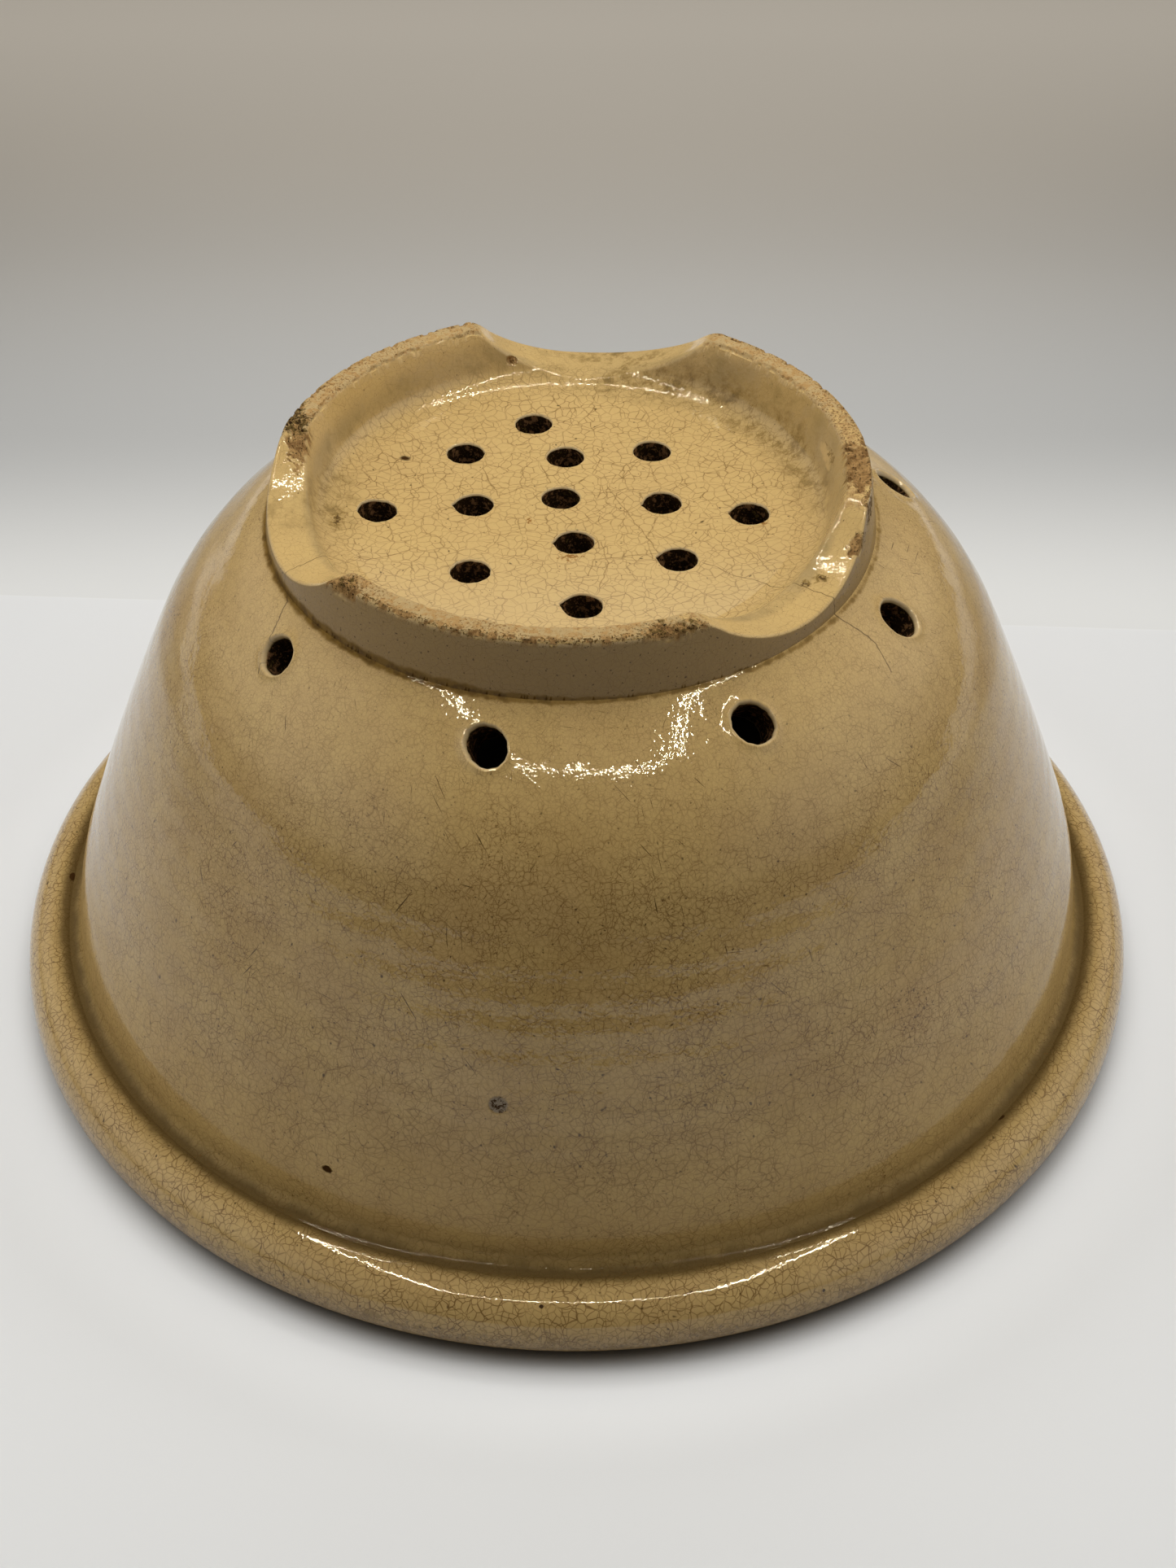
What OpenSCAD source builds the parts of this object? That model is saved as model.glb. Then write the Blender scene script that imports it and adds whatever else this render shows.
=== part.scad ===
// Footed earthenware colander, standing upside down on its rolled rim.
// Millimetres. +Z points up through the foot, and z = 0 is the face of the rim.
// The bowl is a thrown form: every member is a turned profile with holes and arches cut in it.

/* [Rim] */
// Outside diameter over the rolled rim
rim_d = 260; // [220:1:300]
// Height of the roll above the surface that it rests on
roll_h = 17; // [14:0.5:20]
// How far the roll stands out past the foot of the wall
roll_out = 13.6; // [11:0.2:16]
// Height of the roll's outermost line
nose_z = 7.8; // [6:0.2:9]
// Radial reach of the curl under the roll, from the outermost line to the rest face
under_curl = 12.3; // [9:0.3:14]
// Radial distance from the roll's outermost line in to its top
crown_in = 8.5; // [7:0.25:9.5]
// Width of the flat face that the rim rests on
rest_w = 4.2; // [3:0.2:5]
// Height of the rounded lip inside the mouth
lip_h = 6; // [4:0.5:9]
// Depth of the groove between the roll and the wall
groove_depth = 0.8; // [0.4:0.1:1.6]
// Radius of the hollow where the wall flares into the groove
groove_fillet = 3.2; // [2:0.2:4]

/* [Bowl] */
// Height from the rim's rest face to the base of the foot ring
bowl_h = 118; // [105:1:130]
// Thickness of the wall
wall_t = 7.5; // [6:0.25:9]
// Height over which the wall turns from upright to its lean, above the groove
belly_h = 21.4; // [15:0.2:28]
// Lean of the wall at the top of the belly, in degrees
belly_lean = 20.5; // [16:0.5:23]
// Lean of the wall where the shoulder starts, in degrees
shoulder_lean = 24.3; // [23.5:0.1:27]
// Height of the rounded shoulder, under the base of the foot
shoulder_h = 31.3; // [28:0.1:36]
// Thickness of the floor
floor_t = 8; // [6:0.5:10]

/* [Foot] */
// Outside diameter of the foot ring at its base
foot_d = 127.2; // [118:0.2:134]
// Height of the foot ring's crests above its base
foot_h = 12.6; // [11.5:0.2:16]
// How much the outside of the foot draws in from base to crest, at the radius
foot_taper = 1.9; // [0.5:0.1:3]
// Width of the crests on top
crest_w = 4.7; // [3.5:0.1:6]
// Rounding of the two edges of the crests
crest_round = 0.8; // [0.4:0.1:1.2]
// Diameter of the recess floor inside the foot ring
recess_d = 96.2; // [94:0.2:102]
// Radius of the hollow between the recess floor and the ring
recess_fillet = 5; // [3:0.5:6]
// Radius of the bottom of each arch, at the outside of the foot
arch_r = 38; // [30:1:42]

/* [Drain holes] */
// Diameter of the punched holes
hole_d = 8.1; // [6:0.1:9]
// Height of the wall's ring of holes below the base of the foot
wall_hole_drop = 5.6; // [5:0.1:12]

/* [Hidden] */

$fn = 144;
// Straight runs that make up a tight curve of an outline
arc_steps = 16;
// Straight runs that make up a slack curve, or a very small one
slack_steps = 6;
// How far a cutter reaches past the face that it cuts
over = 2;

// The cut and punched places were laid out by eye, so they are uneven.
// Arches: [direction in degrees, height left under the arch]
ARCHES = [[87, 1.4], [-42, 3.1], [-160, 3.5]];
// Wall holes: direction in degrees
WALL_HOLES = [-144.5, -103.5, -62, -25, 14.5, 57, 100, 143];
// Floor holes: [distance from the centre as a share of the recess radius, direction in degrees]
FLOOR_HOLES = [
    [0.135, 109],
    [0.46, 93], [0.215, -86], [0.43, 170], [0.41, 12],
    [0.76, 103], [0.675, -86], [0.845, 178], [0.78, 0],
    [0.685, 134], [0.625, 54], [0.6, -135], [0.57, -37],
];

rim_r = rim_d / 2;
foot_r = foot_d / 2;
recess_r = recess_d / 2;
crest_z = bowl_h + foot_h;
seat_z = roll_h - groove_depth;

// Outside of the wall, going up: belly arc, long side arc, shoulder arc. The lean is the angle of the
// surface from upright, and the outward normal at that lean is [cos(lean), sin(lean)].
wall_r = rim_r - roll_out;
belly_radius = belly_h / sin(belly_lean);
belly_centre = [wall_r - belly_radius, seat_z];
side_foot = on_arc(belly_centre, belly_radius, belly_lean);
side_h = bowl_h - shoulder_h - side_foot[1];
side_radius = side_h / (sin(shoulder_lean) - sin(belly_lean));
side_centre = side_foot - side_radius * normal(belly_lean);
shoulder_foot = on_arc(side_centre, side_radius, shoulder_lean);
shoulder_run = [shoulder_foot[0] - foot_r, shoulder_h];
shoulder_turn = 2 * (atan2(shoulder_run[0], shoulder_run[1]) - shoulder_lean);
shoulder_radius = norm(shoulder_run) / (2 * sin(shoulder_turn / 2));
shoulder_centre = shoulder_foot - shoulder_radius * normal(shoulder_lean);
top_lean = shoulder_lean + shoulder_turn;

// Inside of the bowl: the belly and side keep the wall's thickness, and one arc rounds them into the
// flat floor.
floor_z = bowl_h - floor_t;
dome_foot = on_arc(side_centre, side_radius - wall_t, shoulder_lean);
dome_radius = (floor_z - dome_foot[1]) / (1 - sin(shoulder_lean));
dome_centre = dome_foot - dome_radius * normal(shoulder_lean);
// Lean of the inside surface where the wall hands over to the floor disc
split_lean = recess_r > dome_centre[0] ? acos((recess_r - dome_centre[0]) / dome_radius) : 90;

// Rim roll
mouth_r = wall_r - wall_t;
rest_r = rim_r - under_curl;
crown_r = rim_r - crown_in;
groove_r = wall_r + groove_fillet;

// Foot ring
crest_r = foot_r - foot_taper;
inner_crest = [crest_r - crest_w, crest_z];
fillet_centre = [recess_r, bowl_h + recess_fillet];
face_run = inner_crest - fillet_centre;
// Direction, below level, in which the recess's hollow hands over to the ring's sloping inner face
fillet_end = atan2(face_run[1], face_run[0]) - acos(recess_fillet / norm(face_run));

function normal(lean) = [cos(lean), sin(lean)];
function on_arc(centre, radius, lean) = centre + radius * normal(lean);
function arc(centre, radius, from, to, count) =
    [for (i = [0 : count]) on_arc(centre, radius, from + (to - from) * i / count)];
// A quarter of an oval about centre, from one axis to the other
function oval(centre, across, up, from) =
    [for (i = [0 : arc_steps]) let (a = from + 90 * i / arc_steps)
        centre + [across * cos(a), up * sin(a)]];

module rim_roll() {
    color("#c9a56b")
    rotate_extrude()
    polygon(concat(
        oval([rest_r, nose_z], under_curl, nose_z, -90),
        oval([crown_r, nose_z], crown_in, roll_h - nose_z, 0),
        oval([crown_r, seat_z], crown_r - groove_r, groove_depth, 90),
        [[mouth_r, seat_z]],
        oval([rest_r - rest_w, lip_h], rest_r - rest_w - mouth_r, lip_h, 180)
    ));
}

module wall_profile() {
    flare_centre = [groove_r, seat_z + groove_fillet];
    flare_lean = asin(groove_fillet / belly_radius);
    polygon(concat(
        arc(flare_centre, groove_fillet, -90, -180, arc_steps),
        arc(belly_centre, belly_radius, flare_lean, belly_lean, slack_steps),
        arc(side_centre, side_radius, belly_lean, shoulder_lean, slack_steps),
        arc(shoulder_centre, shoulder_radius, shoulder_lean, top_lean, arc_steps),
        [[recess_r, bowl_h]],
        arc(dome_centre, dome_radius, split_lean, shoulder_lean, arc_steps),
        arc(side_centre, side_radius - wall_t, shoulder_lean, belly_lean, slack_steps),
        arc(belly_centre, belly_radius - wall_t, belly_lean, 0, slack_steps)
    ));
}

// The holes are punched square to the shoulder, deep enough to pass the wall where it is thickest.
module wall_holes() {
    lean = asin((bowl_h - wall_hole_drop - shoulder_centre[1]) / shoulder_radius);
    spot = on_arc(shoulder_centre, shoulder_radius, lean);
    depth = wall_t + 2 * floor_t;
    for (a = WALL_HOLES)
        rotate(a)
        translate([spot[0], 0, spot[1]])
        rotate([0, 90 - lean, 0])
        translate([0, 0, -depth])
        cylinder(d = hole_d, h = depth + over);
}

module bowl_wall() {
    color("#b8935a")
    difference() {
        rotate_extrude() wall_profile();
        wall_holes();
    }
}

module floor_profile() {
    polygon(concat(
        [[0, floor_z]],
        arc(dome_centre, dome_radius, 90, split_lean, slack_steps),
        [[recess_r, bowl_h], [0, bowl_h]]
    ));
}

module bowl_floor() {
    color("#cda96b")
    difference() {
        rotate_extrude() floor_profile();
        for (h = FLOOR_HOLES)
            rotate(h[1])
            translate([h[0] * recess_r, 0, floor_z - over])
            cylinder(d = hole_d, h = floor_t + 2 * over);
    }
}

module foot_profile() {
    polygon(concat(
        [[foot_r, bowl_h]],
        arc([crest_r, crest_z] - crest_round * [1, 1], crest_round, 0, 90, slack_steps),
        arc(inner_crest + crest_round * [1, -1], crest_round, 90, 180 + fillet_end, slack_steps),
        arc(fillet_centre, recess_fillet, fillet_end, -90, arc_steps)
    ));
}

// Each arch is a cone that opens outwards from the bowl's axis, tipped up until its lowest line is level,
// so that the cut fans out through the ring and leaves an even sill.
module arches() {
    half_angle = atan(arch_r / foot_r);
    reach = 2 * foot_r;
    for (a = ARCHES)
        translate([0, 0, bowl_h + a[1]])
        rotate(a[0])
        rotate([0, 90 - half_angle, 0])
        cylinder(r1 = 0, r2 = reach * tan(half_angle), h = reach);
}

module foot_ring() {
    color("#c4a068")
    difference() {
        rotate_extrude() foot_profile();
        arches();
    }
}

rim_roll();
bowl_wall();
bowl_floor();
foot_ring();
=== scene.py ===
"""Looks of the footed earthenware colander: hand-turned clay, crazed glaze, worn crests and studio light.

Shapes are worked out in millimetres and written to the meshes in metres. Every member is a turned profile, so
a point is given by its direction round the bowl's axis (in degrees, 0 along +X and 90 along +Y) and by its
place on the profile, [radius, height]. A lean is an angle of the surface from upright.
"""

import math
from functools import reduce

import bmesh
import bpy
import numpy as np
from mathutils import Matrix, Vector, geometry, noise


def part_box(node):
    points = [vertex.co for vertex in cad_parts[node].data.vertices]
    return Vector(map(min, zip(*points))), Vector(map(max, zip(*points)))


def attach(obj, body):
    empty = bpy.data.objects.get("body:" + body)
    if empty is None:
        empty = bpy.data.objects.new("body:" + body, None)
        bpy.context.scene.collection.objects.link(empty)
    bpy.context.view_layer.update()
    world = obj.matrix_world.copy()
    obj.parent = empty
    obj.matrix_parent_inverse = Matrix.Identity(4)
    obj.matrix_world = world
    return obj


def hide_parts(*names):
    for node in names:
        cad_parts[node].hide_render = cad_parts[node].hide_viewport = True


MM = 0.001

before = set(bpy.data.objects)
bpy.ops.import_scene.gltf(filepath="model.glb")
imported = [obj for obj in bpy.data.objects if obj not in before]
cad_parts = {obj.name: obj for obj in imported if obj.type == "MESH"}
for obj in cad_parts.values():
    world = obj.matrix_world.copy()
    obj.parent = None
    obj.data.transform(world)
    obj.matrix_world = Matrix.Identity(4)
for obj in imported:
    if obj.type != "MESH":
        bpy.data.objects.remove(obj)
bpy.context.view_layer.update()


def box_mm(node):
    low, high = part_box(node)
    return np.array(low) / MM, np.array(high) / MM


# ---- Driving dimensions, read from the frame ----
_, RIM_HIGH = box_mm("rim_roll")
WALL_LOW, WALL_HIGH = box_mm("bowl_wall")
_, FLOOR_HIGH = box_mm("bowl_floor")
FOOT_LOW, FOOT_HIGH = box_mm("foot_ring")
RIM_R = RIM_HIGH[0]
ROLL_TOP = RIM_HIGH[2]
SEAT_Z = WALL_LOW[2]
GROOVE_R = WALL_HIGH[0]
BASE_Z = FOOT_LOW[2]
CREST_Z = FOOT_HIGH[2]
FOOT_R = FOOT_HIGH[0]
RECESS_R = FLOOR_HIGH[0]

# ---- Shape of the profile ----
WALL_T = 7.5
FLOOR_T = 8.0
NOSE_Z = 7.8
UNDER_CURL = 12.3
CROWN_IN = 8.5
REST_W = 4.2
LIP_H = 6.0
GROOVE_FILLET = 3.2
BELLY_H = 21.4
BELLY_LEAN = 20.5
SHOULDER_LEAN = 24.3
SHOULDER_H = 31.3
FOOT_TAPER = 1.9
CREST_W = 4.7
ARCH_R = 38.0
ARCH_SOFT = 3.2
# How deep the floor is dished, and how far from its edge the dish ends and is full
FLOOR_DISH = 0.9
DISH_EDGE = (1.0, 8.5)
HOLE_R = 4.05
# A hole's lobes and their height as a share of its radius, its tear's swing from the left and width in
# radians, its lip on the floor and on the wall, and the lip's bead of glaze as a share of it
HOLE_LOBES = (2, 3, 5, 9, 14)
LOBE_H = 0.014
TEAR_SWING = 0.2
TEAR_WIDTH = 0.12
FLOOR_LIP = 0.5
WALL_LIP = 1.2
BEAD = 0.3
# Shares of the way over a lip where dirt comes in, and where thin glaze comes in and goes
LIP_DIRT = (0.8, 1.0)
LIP_THIN = ((0.3, 0.6), (1.0, 0.85))
WALL_HOLE_DROP = 5.6

# Arches: direction, height of the sill above the foot's base, and how much wider than the round cut they are
# on their clockwise and anticlockwise sides
ARCHES = [(87, 1.4, 1.16, 0.96), (-42, 3.1, 1.02, 1.14), (-160, 3.5, 1.42, 1.0)]
# Directions of the wall's holes
WALL_HOLES = [-144.5, -103.5, -62, -25, 14.5, 57, 100, 143]
# Floor holes: distance from the centre as a share of the recess radius, direction, and tear at the edge
FLOOR_HOLES = [
    (0.135, 109, 0.0), (0.46, 93, 0.0), (0.215, -86, 0.7), (0.43, 170, 1.1), (0.41, 12, 0.8),
    (0.76, 103, 0.0), (0.675, -86, 0.9), (0.845, 178, 0.0), (0.78, 0, 0.7), (0.685, 134, 0.0),
    (0.625, 54, 0.0), (0.6, -135, 0.0), (0.57, -37, 0.9),
]  # fmt: skip

# Unevenness: the outline's lobes, with their number, height and start, the throwing rings' spacing and
# height, and how far the wall and the foot are off the axis
LOBES = [(2, 0.10, 1.1), (3, 0.07, 0.4), (7, 0.04, 2.0)]
RING_STEP = 6.4
RING_H = 0.035
WALL_OFF = 0.5
FOOT_OFF = -0.95
# Heights over which the wall's unevenness starts and ends, radii over which the lobes start, and how high
# they are off the wall, as a share
WALL_STARTS = (18, 40)
WALL_ENDS = (108, 117)
LOBES_START = (20, 60)
LOBES_LEAST = 0.35

# Spacing of the mesh, and its steps round the axis and round a hole
STEP = 1.5
TURNS = 480
HOLE_TURNS = 48
# Radius at which the glaze's patterns have their written size
SKIN_R = 100.0
# Edges that turn more than this, in degrees, stay crisp
SHARP_ANGLE = 50
# The pieces share this name, and Blender numbers them: edge, edge.001 and so on
PIECE_NAME = "edge"

# ---- Colours, linear ----
GLAZE_PALE = (0.53, 0.355, 0.125)
GLAZE_DEEP = (0.47, 0.305, 0.1)
GLAZE_MOTTLE = (0.34, 0.205, 0.065)
GLAZE_THIN = (0.27, 0.175, 0.08)
CRAZE_BROWN = (0.17, 0.085, 0.02)
CRACK_BROWN = (0.1, 0.053, 0.013)
SPECK_BROWN = (0.045, 0.018, 0.003)
SPECK_RED = (0.085, 0.04, 0.012)
GLAZE_PINK = (0.44, 0.27, 0.12)
LIP_PALE = (0.68, 0.52, 0.29)
FLOOR_PALE = (0.66, 0.445, 0.17)
# The foot's brown: dirt with painted shade on the ring's upright outer face
FOOT_BROWN_AND_SHADE = (0.15, 0.083, 0.022)
# Groove colours: pooled glaze with painted shade of its crease; the olive is also the ring's inner haze
POOL_SHADE_HAZE_OLIVE = (0.26, 0.18, 0.06)
POOL_AND_SHADE_DARK = (0.085, 0.05, 0.013)
JOINT_BROWN = (0.2, 0.11, 0.02)
DIRT_BROWN = (0.22, 0.13, 0.03)
DIRT_GREY = (0.24, 0.16, 0.07)
DIRT_OLIVE = (0.3, 0.21, 0.085)
RUST = (0.3, 0.14, 0.03)
CHIP_GREY = (0.3, 0.24, 0.17)
CLAY_PALE = (0.44, 0.31, 0.14)
CLAY_BROWN = (0.4, 0.235, 0.085)
CLAY_DARK = (0.2, 0.105, 0.035)
GRIME_BLACK = (0.018, 0.008, 0.002)
GRIME_BROWN = (0.2, 0.1, 0.04)
GRIME_OLIVE = (0.11, 0.068, 0.018)

# ---- Finish ----
# The clear glaze lies over the clay as a coat, which is missing where the surface is dull: 0 glazed, 1 bare
GLAZE_GLOSS = 0.035
GLAZE_IOR = 1.5
CLAY_SHINE = 0.04
CLAY_ROUGH = (0.45, 0.8)
BARE = 1.0
POOL_DULL = 0.85
LOW_RIM_DULL = 0.9
LOW_WALL_DULL = 0.6
FOOT_DULL = 0.5
PAPER_ROUGH = 0.6
# The glaze's orange peel: size, height, and shares on the rim and the foot; and its slow ripples
PEEL_SIZE = 0.85
PEEL_H = 0.036
RIM_PEEL = 0.6
FOOT_PEEL = 1.3
RIPPLE_SIZE = 6
RIPPLE_H = 0.07
# Nets of hairline cracks: a cell's size, half a line's width, and the line's strength high up and low down
RIM_NETS = [(1.2, 0.12, 0.7, 0.7), (2.5, 0.13, 0.75, 0.75)]
WALL_NETS = [(1.2, 0.15, 0.46, 0.42), (2.3, 0.15, 0.5, 0.65), (6.0, 0.15, 0.5, 0.5)]
FLOOR_NETS = [(2.0, 0.16, 0.55, 0.55), (5.5, 0.17, 0.55, 0.55)]
FOOT_NETS = [(2.2, 0.12, 0.3, 0.3), (6.0, 0.13, 0.35, 0.35)]
# Heights between which a net goes from its high strength to its low one
NET_HEIGHTS = (80, 28)

# ---- Patterns of the glaze ----
# Noises: size, detail and roughness. Clouds are the slowest, then breaks, and grain is the finest.
CLOUDS = (21, 2, 0.6)
BREAKS = (4.5, 2, 0.55)
GRAIN = (0.95, 3, 0.72)
# Size and reach of the waves in the nets, in the cracks, and in the edges of marks and of small marks, which
# reach no further than SMALL_MARK
NET_WAVES = ((6.0, 1.0), (1.8, 0.4))
CRACK_WAVES = ((5.0, 0.7), (1.3, 0.3))
RAGGED = (1.6, 0.9)
FRAYED = (0.8, 0.2)
SMALL_MARK = 2
# Values between which a noise or a distance brings a layer in, and mostly its strength at each. First the
# clay's clouds and mottle.
PALE_CLOUDS = (0.32, 0.68)
PINK_CLOUDS = (0.42, 0.62, 0, 0.2)
COARSE_MOTTLE = (0.42, 0.72, 0, 0.2)
FINE_MOTTLE = (0.42, 0.72, 0, 0.42)
# The nets' unevenness, and the peel's with its least and greatest share
NET_CLOUDS = (0.3, 0.7, 0.75, 1.05)
NET_BREAKS = (0.34, 0.58, 0.55, 1.1)
PEEL_BREAKS = (0.38, 0.62)
PEEL_SHARES = (0.55, 1.2)
# Grains of dirt: the value above which they show, and how far a full mask lowers it
GRAIN_FULL = 0.68
GRAIN_SPREAD = 0.34
# The pooled glaze in the groove, darkened further as painted shade of its crease: its height over the rim's
# seat, its wave, and distances of its edge and its middle
POOL_RISE = 0.6
POOL_WAVE = 1.6
POOL_SHADE_EDGE = (7.0, 2.6, 0, 0.2)
POOL_SHADE_MIDDLE = (4.4, 1.6, 0, 0.85)
# The line at the ring's foot: where it is heavy, its wave, and distances of its edge and its middle
LINE_HEAVY = (-160, 0.1, 0.95)
LINE_WAVE = 1.4
LINE_EDGE = (1.5, 1.0)
LINE_MIDDLE = (1.3, 0.8)
# The smudges in the corner of the recess: radii and heights, and their blots' values and colours
SMUDGE_RADII = (43, 52)
SMUDGE_HEIGHTS = (128, 119)
SMUDGE_BLOTS = [((0.46, 0.58, 0, 0.75), DIRT_BROWN), ((0.55, 0.66, 0, 0.6), GRIME_OLIVE)]
# The rim: heights of its thin low glaze, and its stains: heights, share, and what stain() is given
LOW_RIM = (12.0, 3.5)
RIM_STAINS = [
    (LOW_RIM, 0.6, DIRT_GREY, None, None, 0.12),
    ((14.0, 7.0), 0.48, DIRT_BROWN, 2.0, None, 0.05, 0.6),
    ((13.0, 5.0), 0.3, CRACK_BROWN, 0.9, None, 0.04, 0.7),
]
# The wall: heights where it is paler, low and high up, and where it is dull, and the scratches' heights
WALL_PALE = [(46, 26, 0, 0.3), (85, 115, 0, 0.3)]
LOW_WALL = (48, 24)
SCRATCH_HEIGHTS = (25, 55)
SCRATCH_CLOUDS = (0.46, 0.62)
# The floor: it is paler towards the front
FLOOR_FRONT = (-5, -40, 0, 0.28)
# The foot ring: radii and heights of its inner face, that face's clouds, and the radii, heights and upward
# lean of its outer face, where brown dirt and painted shade go on its upright parts
INSIDE = (57.0, 55.0)
LOW_INSIDE = (124.5, 119.5)
HIGH_INSIDE = (118.5, 124)
INSIDE_CLOUDS = [((0.5, 0.64, 0, 0.4), POOL_SHADE_HAZE_OLIVE), ((0.46, 0.36, 0, 0.45), CLAY_PALE)]
OUTSIDE = (58.5, 60.0)
BELOW_CREST = (130.2, 129.0)
UPRIGHT = (0.6, 0.3)
# Depths of the wall's spots and the floor's slit, and height of the crumbs on bare clay
SPOT_DEPTH = 0.25
SLIT_DEPTH = 0.3
CRUMB_H = 0.3

# ---- The foot ring's section and its damage ----
# The ring reaches this far into the floor and the wall, so that no gap shows
SEAT_LAP = 0.01
# Steps of its section: outer face, each rounded corner, land between them, and inner face
FOOT_STEPS = (12, 6, 14, 18)
# How far the land's corners are rounded, at most and as a share of the ring's height
OUTER_SOFT = 0.8
INNER_SOFT = 0.9
SOFT_SHARE = 0.45
# Steps of the section between which wear comes and goes: on the land, its outer edge and its inner edge
LAND_STEPS = ((13, 16), (38, 35))
OUTER_EDGE_STEPS = ((10, 15), (22, 17))
INNER_EDGE_STEPS = ((32, 35), (38.5, 36.5))
# Depths below the crests where the wear ends, and depths of damage where bare clay shows
WORN_DEPTHS = (1.4, 0.1)
RAW_DEPTHS = (0.05, 0.2)
# Damage goes in towards a circle this far under the surface
CORE_DROP = 3.0
# Chips on the foot ring: middle, reach along x, y and z, and depth. Their ragged outline: the noise's size
# and height, as a share of the reach, and the shares where a chip fades out. Their rough face: the noise's
# size, and the mean and the change of the depth.
CHIPS = [
    ((58.6, -3.0, 130.8), (4.4, 8.8, 2.6), 0.9),
    ((57.4, -25.0, 126.4), (2.6, 2.9, 2.6), 0.8),
    ((-57.0, 9.5, 128.6), (2.6, 7.5, 4.5), 0.45),
    ((-44.5, -43.5, 129.8), (5.5, 4.5, 1.8), 0.7),
    ((19.5, -58.6, 130.4), (5.6, 2.6, 1.3), 0.7),
    ((-13.1, 52.6, 123.3), (1.3, 1.6, 1.1), 0.9),
]
CHIP_OUTLINE = (1.6, 0.45)
CHIP_FADE = (-1.05, -0.7)
CHIP_FACE = (0.9, 0.75, 0.6)
# Small nicks along the crests' edges: size, noise at which they start and are full, and depth
NICK_SIZE = 2.2
NICK_NOISE = (0.02, 0.25)
NICK_DEPTH = 0.4

# Long cracks: a direction that stands off the surface, and the points they run through
UPWARDS = (0, 0, 1)
WALL_CRACKS = [
    ((-0.7, -0.35, 0.6), [(-57.9, -27.4, 119), (-57.5, -31.2, 117.4), (-60, -37.6, 113.2), (-63, -43, 109)]),
    ((0.65, -0.45, 0.6), [(50.8, -36.5, 118.5), (55, -38, 116), (59.1, -39.4, 112.9), (62.1, -43.8, 109.3)]),
]
FLOOR_CRACKS = [
    (UPWARDS, [(x, y, 0) for x, y in run])
    for run in (
        [(-7.3, 18.7), (-5.2, 12), (-10.5, 10.5), (-16.5, 7.3)],
        [(2.1, 8), (6.8, 8), (10.8, 9.5), (14.8, 8.8)],
        [(6.8, 10.1), (8.7, 5.3), (12.5, -2.9), (17.1, -14.4), (8.4, -15.6), (3.9, -16.4)],
        [(3.9, -16.4), (2.6, -22)],
        [(5.2, -10.3), (6.8, -17.6), (4.8, -26)],
        [(-16.5, 7.3), (-20.1, 17.6)],
        [(15.1, 22.3), (8.2, 11.3)],
        [(-47.1, -17.2), (-40.2, -16.1), (-32.7, -11.7)],
    )
]
LEFT_CRACK = (UPWARDS, [(-48.9, -19.5, 0), (-53, -23, 0), (-57.9, -27.4, 0)])
RIGHT_CRACK = (UPWARDS, [(26.2, -17.7, 0), (38.0, -26.5, 0), (46, -33, 0), (50.8, -36.5, 0)])
# A flake that came off the ring's inner face, and the dirt along its edge: place and reach
FLAKE = ((52.3, 8.5, 125.0), (1.6, 6.0, 1.5))
FLAKE_EDGE = ((53.4, 8.0, 126.0), (1.8, 5.5, 1.0))
# How much longer a scratch is than wide, and the runs of scratches: lean from upright, size of their noise,
# and the value above which it shows
SCRATCH_LENGTH = 22
SCRATCH_RUNS = [(38, 0.6, 0.75), (-30, 0.6, 0.755), (82, 0.6, 0.76), (8, 0.5, 0.76)]
# Small marks: place and reach, and for scuffs the share of the surface that they fill
RIM_SPOTS = [
    ((-7.4, -126.0, 15.4), (0.55, 0.4, 0.4)),
    ((49.0, -119.6, 11.4), (0.4, 0.4, 0.4)),
    ((-119.9, -3.2, 16.6), (0.9, 1.4, 0.9)),
    ((89.8, -78.9, 16.4), (1.0, 1.0, 0.8)),
]
WALL_SCUFFS = [
    ((66.5, -82.5, 54.0), (8, 8, 7), 0.16),
    ((-86.2, -7.9, 96.2), (7, 9, 8), 0.18),
    ((-36.7, -73.4, 102.6), (9, 9, 7), 0.08),
    ((-8.0, -95.0, 79.0), (24, 10, 12), 0.06),
]
WALL_SPOTS = [
    ((-15.4, -105.8, 52.1), (1.9, 1.6, 1.9), CHIP_GREY),
    ((-50.3, -103.2, 29.9), (1.2, 1.1, 0.8), SPECK_BROWN),
]
FLOOR_SLIT = ((-36.6, 21.4, 118.0), (1.7, 1.2, 1.0))
FLOOR_SPOTS = [
    ((-1.0, -15.6, 117), (3.2, 1.6, 2)),
    ((-9.6, -2.4, 117), (1.2, 1.2, 2)),
    ((39.0, -3.4, 117), (1.2, 1.2, 2)),
]
# Black crust on the crests, and dirt along the broken outer edge of the right arch
FOOT_BLACKS = [
    ((-59.0, 13.0, 129.0), (4.0, 13.0, 4.5), 0.65),
    ((-46.5, -42.0, 128.5), (7.0, 6.0, 3.0), 0.5),
    ((19.0, -58.0, 130.0), (9.0, 4.0, 2.0), 0.38),
]
FOOT_BREAKS = [
    ((59.8, -16.0, 128.0), (1.6, 7.0, 2.6), 0.7),
    ((57.2, -13.5, 128.2), (3.5, 1.3, 2.0), 0.8),
    ((58.6, -21.5, 126.0), (2.0, 2.2, 2.2), 0.5),
]
FOOT_RUSTS = [
    ((48.7, -30.5, 122.4), (1.9, 1.4, 1.8)),
    ((45.4, -31.8, 121.7), (2.0, 1.2, 1.5)),
    ((-49.4, -3.5, 119.0), (1.8, 4.0, 3.5)),
]

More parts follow.
